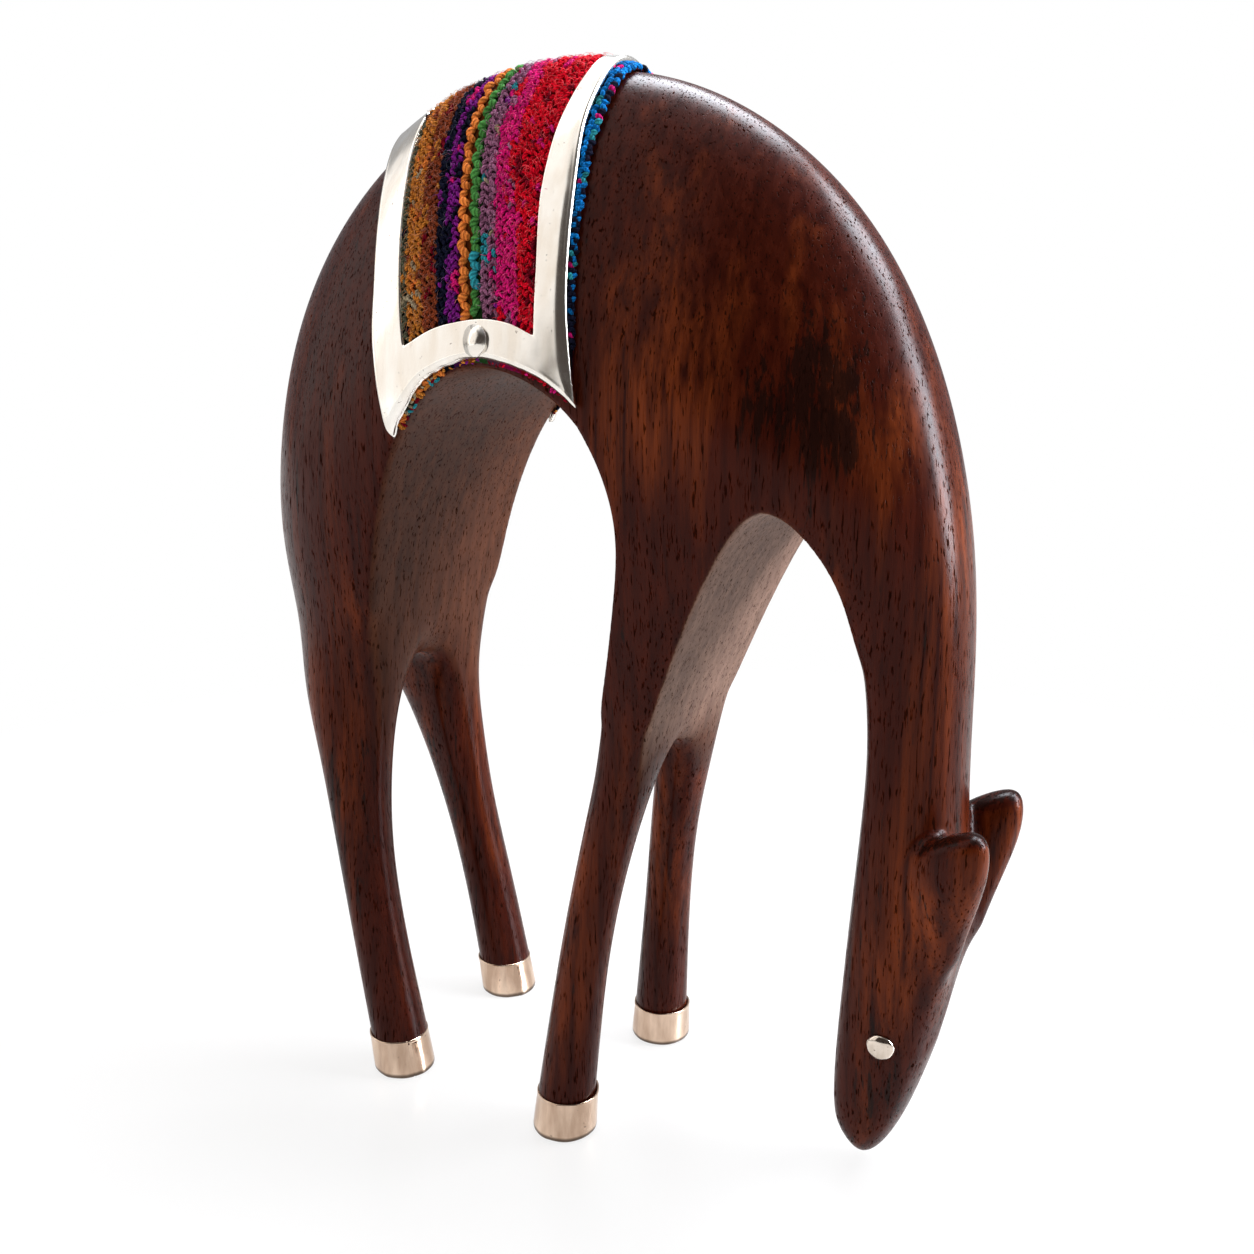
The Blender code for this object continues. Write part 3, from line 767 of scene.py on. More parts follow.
def lump_shape(sides, rings):
    """A plump unit stitch: its points as share along, across and up, its faces and its uv."""
    points, uv, faces = [(-1.0, 0.0, 0.0)], [(0.5, 0.0)], []
    for ring in range(1, rings):
        turn = math.pi * ring / rings
        for side in range(sides + 1):
            angle = 2 * math.pi * side / sides - math.pi / 2
            radius = math.sin(turn) ** 0.75
            points.append((-math.cos(turn), radius * math.cos(angle), radius * math.sin(angle)))
            uv.append((side / sides, ring / rings))
    points.append((1.0, 0.0, 0.0))
    uv.append((0.5, 1.0))
    row = sides + 1
    for side in range(sides):
        faces.append((0, 2 + side, 1 + side))
        faces.append((len(points) - 1, 1 + (rings - 2) * row + side, 2 + (rings - 2) * row + side))
        for ring in range(rings - 2):
            start = 1 + ring * row + side
            faces.append((start, start + 1, start + row + 1, start + row))
    return np.array(points), faces, np.array(uv)


def weld(obj):
    """Closes the seam that each stitch has along its underside."""
    mesh = bmesh.new()
    mesh.from_mesh(obj.data)
    bmesh.ops.remove_doubles(mesh, verts=mesh.verts[:], dist=0.0005 * MM)
    mesh.to_mesh(obj.data)
    mesh.free()


class Stitches:
    """Collects plump stitches and makes one mesh of them."""

    def __init__(self, sides=6, rings=5):
        self.shape, self.faces, self.uv = lump_shape(sides, rings)
        self.rows = []

    def add(self, center, axis, out, sizes, shade, yarn):
        """One stitch. Its sizes are half its length, width and thickness, and how far its ends dive."""
        self.rows.append((center, axis, out, sizes, shade, yarn))

    def build(self, name):
        centers, axes, outs, sizes, shades, yarns = (np.array(values) for values in zip(*self.rows))
        axes /= np.linalg.norm(axes, axis=1, keepdims=True)
        across = np.cross(outs, axes)
        along, side, up = self.shape.T
        length, width, thickness, dive = (sizes[:, k:k + 1] for k in range(4))
        points = (centers[:, None] + axes[:, None] * (along * length)[..., None]
                  + across[:, None] * (side * width)[..., None]
                  + outs[:, None] * (up * thickness - along ** 2 * dive)[..., None])
        size, count = len(self.shape), len(self.rows)
        faces = [tuple(start + corner for corner in face)
                 for start in range(0, count * size, size) for face in self.faces]
        obj = grid_mesh(name, to_metres(points.reshape(-1, 3)), faces, np.tile(self.uv, (count, 1)),
                        np.repeat(yarns, len(self.faces)))
        point_value(obj, "shade", np.repeat(shades, size))
        weld(obj)
        return obj


def column_path(back, share, lines, bottom):
    """A path over the back at a share of the width between two lines, down to bottom(x) on both sides."""
    rear, front = lines

    def line_of_z(z):
        return x_at(rear, z) * (1 - share) + x_at(front, z) * share

    z = 190.0
    for _ in range(20):
        z = float(bottom(line_of_z(np.array([z]))[0]))
    angle = float(back.angle_at(line_of_z(np.array([z]))[0], z))
    return over_back(back, line_of_z, angle)


def knit_end():
    """The line up to which the knit's columns are spread. The front bar's inner edge cuts them off."""
    z = np.linspace(186, ABOVE_BACK, 120)
    x = x_at(REAR_INNER, z)
    return np.column_stack([x + (x_at(FRONT_INNER, z) - x) * np.interp(z, *zip(*KNIT_COVER)), z])


def knit_columns():
    """For each column of stitches its place and width as shares of the knit's width, and its colour."""
    ends = [stripe.start for stripe in STRIPES[1:]] + [1.0]
    columns = []
    for stripe, end in zip(STRIPES, ends):
        width = (end - stripe.start) / stripe.columns
        for index in range(stripe.columns):
            columns.append((stripe.start + width * (index + 0.5), width, stripe.color))
    return columns


def window_stitches(back, dice):
    """Columns of stitches that lean left and right by turns, tucked in under the bars."""
    wide = knit_end()
    stitches = Stitches()
    tops = []
    for share, wide_share, color in knit_columns():
        path = column_path(back, share, (REAR_INNER, wide), lambda x: z_at(BAR_TOP, x) - 0.1)
        length = distances(path)
        thick = color in THICK_YARNS
        pitch = THICK_PITCH if thick else STITCH_PITCH / 2
        stripe = yarn = YARNS.index(color)
        column_width = wide_share * KNIT_WIDTH
        slip = dice.uniform(0, pitch)
        for index in range(int(length[-1] / pitch)):
            place = index * pitch + slip + dice.gauss(0, 0.14)
            if not 0.4 < place < length[-1] - 0.4:
                continue
            x, angle = rows_at(path, length, place)[:2]
            hand = 1 if index % 2 else -1
            x_here = x + hand * column_width * (THICK_BESIDE if thick else BESIDE) + dice.gauss(0, 0.13)
            gap = x_at(FRONT_INNER, back.height_of(x_here, angle)) - x_here
            if gap < -0.1:
                continue
            point, _, _, out = back.frame(np.array(x_here), np.array(angle))
            tilt = math.radians(hand * dice.gauss(THICK_LEAN if thick else LEAN, LEAN_SPREAD))
            ahead = (rows_at(path, length, place + 0.5) - rows_at(path, length, place - 0.5))[2:]
            ahead /= np.linalg.norm(ahead)
            axis = ahead * math.cos(tilt) + np.cross(out, ahead) * math.sin(tilt)
            edge = max(0.0, 1 - min(place, length[-1] - place) / 2, 1 - share * 30, 1 - gap)
            height = STITCH_HEIGHT + dice.gauss(0, 0.14) - 0.4 * edge
            if dice.random() < 0.5:
                yarn = YARNS.index(dice.choice(FLECKS[color])) if dice.random() < FLECK_SHARE else stripe
            sizes = [dice.uniform(*size) for size in (THICK_SIZES if thick else SIZES)]
            stitches.add(point + out * height, axis, out, (*sizes, 0.35), dice.uniform(0.75, 1.2), yarn)
            tops.append((x_here, angle, height + 0.4, yarn))
    return stitches.build("saddle_cloth_stitches"), tops


EDGE_PITCH = 1.2
EDGE_END = (7.0, 188)
SCRAP_PITCH = 0.95


def edge_stitches(back, dice):
    """The crocheted edge in front of the front bar, and the scraps below the frame."""
    outer, hem = FRONT_OUTER, CLOTH_FRONT
    stitches = Stitches(8, 6)
    lowest = float(back.angle_at(*EDGE_END))
    for row, share in enumerate((0.3, 0.8)):
        path = over_back(back, lambda z: x_at(outer, z) * (1 - share) + x_at(hem, z) * share, lowest)
        even = evenly(path, spacing=EDGE_PITCH)
        for index, (x, turn) in enumerate(even[:, :2]):
            height = float(back.height_of(x, turn))
            width = float(x_at(hem, height) - x_at(outer, height))
            plump = min(0.45 + 0.15 * width, 0.85)
            place, along, round_it, out = back.frame(np.array(x + dice.gauss(0, 0.1)), np.array(turn))
            hand = 1 if (index + row) % 2 else -1
            tilt = math.radians(hand * THICK_LEAN + dice.gauss(0, LEAN_SPREAD))
            axis = round_it * math.cos(tilt) + along * math.sin(tilt)
            # The edge is bright blue high on the flank and in the first row, and navy lower down and in the
            # second row: partly the yarn's colours, partly painted shade.
            blue_lit_share = min(max((height - 196) / 30, 0), 1) * (1 if row == 0 else 0.5)
            name = dice.choices(["blue", "teal", "navy", "magenta"],
                                [1 + 7 * blue_lit_share, 0.2 + 1.5 * blue_lit_share, 6 - 6 * blue_lit_share, 0.55])[0]
            center = place + out * (1.0 + 0.1 * width - 0.25 * row + dice.gauss(0, 0.08))
            sizes = (plump * dice.uniform(1.3, 1.6), plump * dice.uniform(0.8, 1), plump * 0.9, 0.3)
            stitches.add(center, axis, out, sizes, dice.uniform(0.5, 1.1), YARNS.index(name))
    add_scraps(stitches, back, dice)
    return stitches.build("saddle_cloth_edge")


def add_scraps(stitches, back, dice):
    """Ends of yarn that show below the crossbar, in two rows on each side that lie so many degrees lower."""
    for side, drop in ((-1, 0.15), (1, 0.15), (-1, 1.05), (1, 1.05)):
        even = evenly(along_flank(back, BAR_BOTTOM, side), spacing=SCRAP_PITCH)
        for index, (x, turn) in enumerate(even[:, :2]):
            share = index / len(even)
            if not 0.05 < share < (0.94 if drop < 1 else 0.34) or dice.random() < 0.1:
                continue
            names = ["orange", "beige", "ochre", "beige"] if drop < 1 else ["teal", "wine", "ochre", "navy"]
            if share > 0.42:
                names = ["violet", "ochre", "navy"] if share < 0.58 else ["red", "wine", "wine", "magenta"]
            turn += side * math.radians(drop + dice.uniform(0.0, 0.5))
            place, along, round_it, out = back.frame(np.array(x), np.array(turn))
            axis = along * dice.uniform(0.4, 1) + round_it * dice.gauss(0, 0.8)
            size = 1.25 if share < 0.4 else 0.9
            center = place + out * dice.uniform(0.45, 0.8)
            sizes = (size * dice.uniform(0.6, 0.95), size * dice.uniform(0.28, 0.42), size * 0.36, 0.15)
            stitches.add(center, axis, out, sizes, dice.uniform(0.6, 1.1), YARNS.index(dice.choice(names)))


FUZZ_COUNT = 6000
FUZZ_RADIUS = 0.055
FUZZ_SEGMENTS = 4
LOOSE_YARNS = ("red", "magenta", "rust", "ochre", "lilac")


def fuzz(back, tops, dice):
    """Loose fibres that curl off the stitches."""
    points, faces, index, shade = [], [], [], []
    weights = [3.0 if YARNS[top[3]] in LOOSE_YARNS else 0.8 for top in tops]
    for x, angle, height, yarn in dice.choices(tops, weights, k=FUZZ_COUNT):
        point, along, round_it, out = back.frame(np.array(x + dice.uniform(-0.7, 0.7)), np.array(angle))
        heading = dice.uniform(0, 2 * math.pi)
        forward = along * math.cos(heading) + round_it * math.sin(heading)
        beside = np.cross(out, forward)
        length = dice.uniform(0.7, 2.2)
        rise, sway = dice.uniform(0.2, 0.8), dice.uniform(-1.3, 1.3)
        start = len(points)
        for step in range(FUZZ_SEGMENTS + 1):
            t = step / FUZZ_SEGMENTS
            middle = (point + out * (height - 0.25 + rise * math.sin(t * math.pi * 0.85))
                      + forward * length * t + beside * sway * t * t)
            thin = FUZZ_RADIUS * (1 - 0.6 * t)
            for corner in range(3):
                turn = corner * 2 * math.pi / 3
                points.append(middle + (beside * math.cos(turn) + out * math.sin(turn)) * thin)
        # Fibres are painted lighter than their yarn: painted sheen where they catch the light.
        shade += [dice.uniform(1.1, 2.4)] * (len(points) - start)
        fibre = tube_faces(FUZZ_SEGMENTS + 1, 3, start)
        faces += fibre
        index += [yarn] * len(fibre)
    obj = grid_mesh("saddle_cloth_fuzz", to_metres(np.array(points)), faces, None, index)
    point_value(obj, "shade", shade)
    return obj


# Points of the sheet from rear to front and from hem to hem, and its heights over the wood.
CLOTH_GRID = (61, 171)
CLOTH_UNDERSIDE = 0.3
HEM_HEIGHT = 0.75
CLOTH_HEIGHT = 1.35
# The sheet is painted dark: painted shade between the stitches.
SHEET_PAINTED_SHADE = 0.28


def cloth_sheet(back):
    """The cloth under frame and stitches, a closed sheet, and its length from hem to hem."""
    wide = knit_end()
    columns, rows = CLOTH_GRID

    def path_at(share):
        path = column_path(back, share, (CLOTH_REAR, CLOTH_FRONT), lambda x: z_at(CLOTH_BOTTOM, x))
        return evenly(path, count=rows)

    grid = np.array([path_at(column / (columns - 1)) for column in range(columns)])
    x, angle = grid[..., 0], grid[..., 1]
    z = back.height_of(x, angle)
    inside = np.minimum(np.minimum(x - x_at(REAR_INNER, z), x_at(FRONT_INNER, z) - x), z - z_at(BAR_TOP, x))
    raised = np.clip(inside / 1.5 + 0.5, 0, 1)
    border = np.minimum(*np.meshgrid(*(np.minimum(np.arange(count), count - 1 - np.arange(count))
                                       for count in CLOTH_GRID), indexing="ij"))
    top = HEM_HEIGHT + (CLOTH_HEIGHT - HEM_HEIGHT) * np.clip(border / 2, 0, 1)
    top += (KNIT_BASE - CLOTH_HEIGHT) * raised
    upper = back.lifted(x, angle, top).reshape(-1, 3)
    lower = back.lifted(x, angle, np.full(x.shape, CLOTH_UNDERSIDE)).reshape(-1, 3)
    half = columns * rows
    faces, index = [], []
    for column in range(columns - 1):
        middle = (x[column] + x[column + 1]) / 2
        for row in range(rows - 1):
            a = column * rows + row
            corners = (a, a + rows, a + rows + 1, a + 1)
            start, end, cover = (x_at(line, z[column, row]) for line in (REAR_INNER, wide, FRONT_INNER))
            yarn = yarn_at((middle[row] - start) / (end - start))
            if middle[row] > cover + 3:
                yarn = YARNS.index("navy")
            faces.append(corners)
            faces.append(tuple(corner + half for corner in corners[::-1]))
            index += [yarn, yarn]
    last = half - 1
    rim = [*range(0, half, rows), *range(half - rows + 1, half), *range(last - rows, 0, -rows),
           *range(rows - 2, 0, -1)]
    for first, second in zip(rim, rim[1:] + rim[:1]):
        faces.append((second, first, first + half, second + half))
        index.append(YARNS.index("wine"))
    obj = grid_mesh("saddle_cloth_knit", to_metres(np.vstack([upper, lower])), faces, None, index)
    # The whole sheet is painted dark as shade between the stitches.
    point_value(obj, "shade", np.full(2 * half, SHEET_PAINTED_SHADE))
    return obj, distances(path_at(0.5))[-1]


# Silver


def lathe(name, profile, place, out, sides, shape):
    """Turns a closed profile of radius and height round a direction. shape moves each point."""
    turn = Vector((0, 0, 1)).rotation_difference(out)
    points = []
    for radius, height in profile:
        for side in range(sides):
            angle = 2 * math.pi * side / sides
            local = Vector((radius * math.cos(angle), radius * math.sin(angle), height))
            points.append(place + turn @ (shape(local, angle) * MM))
    return grid_mesh(name, np.array([list(point) for point in points]), tube_faces(len(profile), sides))


def rounded(corners, radius, steps=5):
    """A profile with all its corners but the ends rounded."""
    points = [corners[0]]
    for before, corner, after in zip(corners, corners[1:], corners[2:]):
        before, middle, after = Vector(before), Vector(corner), Vector(after)
        reach = min(radius, (before - middle).length * 0.45, (after - middle).length * 0.45)
        start = middle + (before - middle).normalized() * reach
        end = middle + (after - middle).normalized() * reach
        for step in range(steps + 1):
            t = step / steps
            points.append(tuple(start * (1 - t) ** 2 + middle * 2 * t * (1 - t) + end * t * t))
    points.append(corners[-1])
    return points


def divided(profile, step, beyond):
    """A profile with more points along the stretches that lie beyond a radius."""
    points = []
    for first, second in zip(profile, profile[1:]):
        count = 1
        if first[0] > beyond and second[0] > beyond:
            count = max(int(math.dist(first, second) / step), 1)
        points += [tuple(a + (b - a) * k / count for a, b in zip(first, second)) for k in range(count)]
    return points + [profile[-1]]


CAP_SIDES = 128
CAP_ROUND = 0.9
# The seam's groove, and the raised edges on both sides of it: depth or height, place and width.
SEAM_GROOVE = (0.16, 0.0, 0.16)
SEAM_EDGES = (0.05, 0.35, 0.2)


def bell(value, form):
    """A smooth bump: its height, its middle and its width."""
    size, middle, width = form
    return size * math.exp(-((value - middle) / width) ** 2)


def hoof_cap(name, x_line, y_line, side, seam):
    """A cap bent from sheet: a slightly flared wall with a lip at the top, and with or without a seam."""
    floor, top = CAP_FLOOR_RADIUS, CAP_TOP_RADIUS
    corners = [(0.4, 0.0), (floor, 0.0), (top - 0.02, CAP_HEIGHT - 0.9),
               (top + 0.1, CAP_HEIGHT - 0.5), (top + 0.04, CAP_HEIGHT), (top - 0.42, CAP_HEIGHT),
               (top - 0.6, CAP_HEIGHT - 0.9), (0.4, CAP_HEIGHT - 1.2)]
    lean_x, lean_y = x_line[1] - x_line[0], side * (y_line[1] - y_line[0])
    seed = Vector((x_line[0], side * y_line[0], 3.0))

    def shape(local, angle):
        rise = local.z / CAP_HEIGHT
        radius = math.hypot(local.x, local.y)
        push = 0.0
        if radius > top - 0.4:
            flat = Vector((local.x * 0.3, local.y * 0.3, local.z * 0.08)) + seed
            push = noise.noise(flat) * 0.2 + noise.noise(local * 0.7 + seed) * 0.03
            if seam is not None:
                gap = abs(math.remainder(angle - seam, 2 * math.pi) * top)
                push += bell(gap, SEAM_EDGES) - bell(gap, SEAM_GROOVE)
        scale = 1 + push / max(radius, 1)
        return Vector((local.x * scale + lean_x * rise, local.y * scale + lean_y * rise, local.z))

    profile = divided(rounded(corners, CAP_ROUND), 0.8, 6)
    return lathe(name, profile, at(x_line[0], side * y_line[0], 0), Vector((0, 0, 1)), CAP_SIDES, shape)


def dome_profile(radius, rise, washer, sunk):
    """A dome, on a flat washer where one is wanted."""
    points = [(0.05, -sunk), (radius + washer, -sunk), (radius + washer, 0.1)]
    if washer:
        points += [(radius + washer - 0.12, 0.24), (radius + 0.05, 0.22)]
    for step in range(25):
        turn = math.pi / 2 * step / 24
        points.append((radius * math.cos(turn) + 0.02, 0.1 + (rise - 0.1) * math.sin(turn)))
    return points


STUD_SIDES = 96
PIT_DEPTH = 0.09
# Small pits in a stud's dome: place and width.
PITS = [(0.7, 0.6, 0.13), (-0.5, 0.9, 0.1), (0.3, -1.0, 0.1)]


def stud(name, tree, x, z, side, profile, oval=1.0, seed=0.0):
    """A hammered stud, not quite round, that sits square on the surface of a tree."""
    place, normal, _, _ = tree.ray_cast(at(x, side * 90, z), Vector((0, -side, 0)))

    def shape(local, angle):
        uneven = 1 + 0.02 * math.sin(3 * angle + seed) + 0.012 * math.sin(7 * angle + 2 * seed)
        down = 0.0
        if local.z > 0.5:
            down = sum(bell(math.hypot(local.x - pit_x, local.y - pit_y), (PIT_DEPTH, 0, width))
                       for pit_x, pit_y, width in PITS)
        return Vector((local.x * uneven, local.y * uneven * oval, local.z - down))

    return lathe(name, profile, place, normal, STUD_SIDES, shape)


# Materials


class Nodes:
    """Builds the nodes of a material or a world in a few words."""

    def __init__(self, owner):
        owner.use_nodes = True
        self.owner, self.tree = owner, owner.node_tree

    def add(self, kind, inputs=None, **settings):
        node = self.tree.nodes.new("ShaderNode" + kind)
        for name, value in settings.items():
            setattr(node, name, value)
        for name, value in (inputs or {}).items():
            self.put(node.inputs[name], value)
        return node

    def put(self, socket, value):
        if isinstance(value, bpy.types.NodeSocket):
            self.tree.links.new(value, socket)
        elif isinstance(value, bpy.types.Node):
            self.tree.links.new(value.outputs[0], socket)
        elif isinstance(value, (tuple, list)) and len(value) == 3 and len(socket.default_value) == 4:
            socket.default_value = (*value, 1)
        else:
            socket.default_value = value

    def place(self, scale):
        """Object coordinates, scaled: the number of features in a metre along each axis."""
        places = self.add("TexCoord").outputs["Object"]
        return self.add("Mapping", {"Vector": places, "Scale": scale}).outputs[0]

    def noise(self, scale, detail=3.0, roughness=0.5, distortion=0.0):
        return self.add("TexNoise", {"Vector": self.place(scale), "Scale": 1.0, "Detail": detail,
                                     "Roughness": roughness, "Distortion": distortion}).outputs["Fac"]

    def ramp(self, value, low, high):
        return self.add("MapRange", {"Value": value, "From Min": low, "From Max": high}).outputs[0]

    def mix(self, share, first, second):
        return self.add("Mix", {0: share, 6: first, 7: second}, data_type="RGBA").outputs[2]

    def math(self, operation, *values):
        return self.add("Math", dict(enumerate(values)), operation=operation).outputs[0]

    def times(self, first, second):
        return self.math("MULTIPLY", first, second)

    def plus(self, first, second):
        return self.math("ADD", first, second)

    def attribute(self, name):
        return self.add("Attribute", attribute_name=name).outputs["Fac"]

    def bump(self, height, strength, distance, **more):
        inputs = {"Height": height, "Strength": strength, "Distance": distance, **more}
        return self.add("Bump", inputs).outputs[0]


class Surface(Nodes):
    """A material round the Principled shader."""

    def __init__(self, name, roughness, metallic=0.0):
        super().__init__(bpy.data.materials.new(name))
        self.shader = self.tree.nodes["Principled BSDF"]
        self.set({"Roughness": roughness, "Metallic": metallic})

    def set(self, inputs):
        for name, value in inputs.items():
            self.put(self.shader.inputs[name], value)
        return self.owner


SOOT = (0.008, 0.003, 0.002)


def wood_material():
    """Dark oiled hardwood: grain that stands upright, open pores, warm streaks and painted floor light on
    the undersides.
    """
    made = Surface("wood_oiled", 0.36)
    streak = made.noise((480, 480, 20), 4.0, 0.55, 0.3)
    broad = made.noise((120, 120, 13), 3.0, 0.5, 0.5)
    fine = made.noise((2100, 2100, 110), 3.0, 0.6)
    pore = made.noise((2300, 2300, 270), 2.0, 0.5)
    black = made.noise((560, 560, 30), 6.0, 0.68, 0.4)
    warm, under, char = (made.attribute(name) for name in ("warm", "under", "char"))
    lines = made.ramp(streak, 0.3, 0.7)
    color = made.mix(made.ramp(streak, 0.32, 0.70), (0.028, 0.0032, 0.0012), (0.064, 0.0082, 0.0024))
    glow = made.times(lines, made.ramp(made.plus(broad, made.times(warm, 0.36)), 0.54, 0.92))
    color = made.mix(glow, color, (0.235, 0.043, 0.0070))
    color = made.mix(made.times(made.ramp(fine, 0.45, 0.75), 0.30), color, (0.020, 0.0035, 0.0018))
    scorched = made.ramp(made.plus(black, made.times(char, 0.29)), 0.62, 0.68)
    color = made.mix(made.times(scorched, 0.8), color, SOOT)
    # The undersides are painted paler, brown under the belly and tan at the throat: painted light reflected
    # from the white floor and backdrop.
    underside_lit_brown = made.mix(lines, (0.052, 0.0155, 0.0068), (0.108, 0.034, 0.0150))
    underside_lit_tan = made.mix(lines, (0.150, 0.080, 0.056), (0.275, 0.162, 0.118))
    color = made.mix(made.ramp(under, 0.0, 0.5), color, underside_lit_brown)
    color = made.mix(made.ramp(under, 0.5, 1.0), color, underside_lit_tan)
    pores = made.ramp(pore, 0.615, 0.665)
    color = made.mix(made.times(pores, 0.8), color, SOOT)
    roughness = made.plus(made.times(streak, 0.14), 0.20)
    roughness = made.plus(roughness, made.times(under, 0.25))
    roughness = made.plus(roughness, made.times(pores, 0.5))
    # Oil shines on the wood but not in its pores.
    gloss = made.math("MULTIPLY_ADD", made.ramp(pore, 0.585, 0.63), -0.09, 0.09)
    normal = made.bump(made.noise((60, 60, 30), 2.0), 0.2, 0.0010)
    normal = made.bump(made.math("SUBTRACT", made.times(fine, 0.22), pores), 0.4, 0.0001, Normal=normal)
    made.put(made.shader.inputs["Specular IOR Level"], gloss)
    return made.set({"Base Color": color, "Roughness": roughness, "Normal": normal})


# A dark band is painted low on the caps, where they meet the floor: painted contact shade. It runs from and
# to these heights, in metres.
CAP_CONTACT_SHADE = (0.0015, 0.0009)


def silver_material(name, dark, light, roughness):
    """Hand worked silver with cloudy tone, small scratches and pits, and painted contact shade low down."""
    made = Surface(name, roughness, 1.0)
    cloud = made.noise((260, 260, 60), 3.0)
    scratch = made.noise((300, 300, 2200), 4.0, 0.7, 1.5)
    pit = made.noise((1100, 1100, 1100), 2.0)
    color = made.mix(made.ramp(cloud, 0.35, 0.65), dark, light)
    color = made.mix(made.times(made.ramp(pit, 0.71, 0.76), 0.8), color, (0.16, 0.12, 0.09))
    # Painted contact shade: the caps turn dark towards the floor.
    contact_shade = made.ramp(made.add("SeparateXYZ", {0: made.place((1, 1, 1))}).outputs[2], *CAP_CONTACT_SHADE)
    color = made.mix(made.times(contact_shade, 0.85), color, (0.05, 0.034, 0.026))
    rough = made.plus(made.times(scratch, 0.12), roughness - 0.06)
    height = made.math("SUBTRACT", made.times(scratch, 0.2), made.ramp(pit, 0.69, 0.78))
    return made.set({"Base Color": color, "Roughness": rough, "Normal": made.bump(height, 0.2, 0.00004)})


# Painted sheen on loose fibres: they turn whiter in so far as their shade is over the first number, and by
# so much.
FIBRE_SHEEN = (1.25, 0.14)


def yarn_material(name, color):
    """Spun wool: two plies that wind round each stitch, fibres lighter and darker at random with painted
    shade in the grooves between the plies, and painted sheen on loose fibres.
    """
    made = Surface("yarn_" + name, 0.9)
    uv = made.add("TexCoord").outputs["UV"]
    mapping = made.add("Mapping", {"Vector": uv, "Scale": (1.0, 0.9, 1.0), "Rotation": (0, 0, 0.9)})
    wave = made.add("TexWave", {"Vector": mapping, "Scale": 1.6, "Distortion": 1.2, "Detail": 2.0})
    ply = wave.outputs["Fac"]
    fibre = made.noise((3200, 3200, 3200), 4.0, 0.7)
    dark = tuple(channel * 0.36 for channel in color)
    light = tuple(min(channel * 1.3, 1) for channel in color)
    # Painted shade in the grooves between the plies: the ply wave darkens the yarn there, and the fibre
    # noise varies its tone at random.
    tone = made.plus(made.times(fibre, 0.75), made.times(ply, 0.25))
    shade = made.attribute("shade")
    spun = made.add("VectorMath", operation="SCALE")
    made.put(spun.inputs[0], made.mix(made.ramp(tone, 0.32, 0.66), dark, light))
    made.put(spun.inputs["Scale"], shade)
    start, strength = FIBRE_SHEEN
    pale = made.times(made.math("MAXIMUM", made.math("SUBTRACT", shade, start), 0.0), strength)
    color = made.add("VectorMath", {0: spun, 1: pale}, operation="ADD")
    normal = made.bump(made.plus(made.times(ply, 0.6), made.times(fibre, 0.5)), 0.5, 0.0002)
    return made.set({"Base Color": color, "Specular IOR Level": 0.03, "Normal": normal})


# The strength of the floor's own glow, and the distances from the middle, in metres, between which it turns
# to plain white.
FLOOR_GLOW = 0.80
FLOOR_CLEAR = (0.16, 0.42)


def floor_material():
    """White card: matt with a faint gloss near the feet, and evenly white farther out."""
    made = Surface("studio_floor", 0.3)
    made.set({"Base Color": (0.16, 0.152, 0.147), "Specular IOR Level": 0.3})
    distance = made.add("VectorMath", {"Vector": made.place((1, 1, 1))}, operation="LENGTH").outputs["Value"]
    glow = made.add("Emission", {"Color": (1, 1, 1), "Strength": FLOOR_GLOW})
    near = made.add("AddShader", {0: made.shader, 1: glow})
    white = made.add("Emission", {"Color": (1, 1, 1)})
    mixed = made.add("MixShader", {0: made.ramp(distance, *FLOOR_CLEAR), 1: near, 2: white})
    made.put(made.tree.nodes["Material Output"].inputs["Surface"], mixed)
    return made.owner


# Warm heartwood shows low on shoulder, flank, neck and cheek, and on the legs. The zone on the rump's rear
# crest is partly heartwood and partly painted light, where light falls on the rump. Charred wood is darker.
# Each zone has its middle, its reach and its strength.
WARM_ZONES = [((24, 175), (14, 18), 1.15), ((72, 170), (4, 13), 0.9), ((84, 150), (8, 34), 0.6),
              ((80, 66), (10, 24), 0.65), ((-74, 90), (16, 28), 0.5), ((5, 70), (12, 30), 0.7),
              ((-84, 190), (14, 22), 0.3), ((48, 198), (12, 14), 0.4), ((-97, 165), (10, 40), 0.9)]
CHAR_ZONES = [((57, 180), (5, 13), 1.0), ((64, 174), (4, 12), 0.85), ((48, 176), (3, 10), 0.7),
              ((-70, 60), (10, 30), 0.5), ((74, 22), (12, 14), 0.4), ((97, 96), (6, 5), 0.9)]


def in_zones(x, z, zones):
    return sum(strength * np.exp(-((x - mid_x) / reach_x) ** 2 - ((z - mid_z) / reach_z) ** 2)
               for (mid_x, mid_z), (reach_x, reach_z), strength in zones)


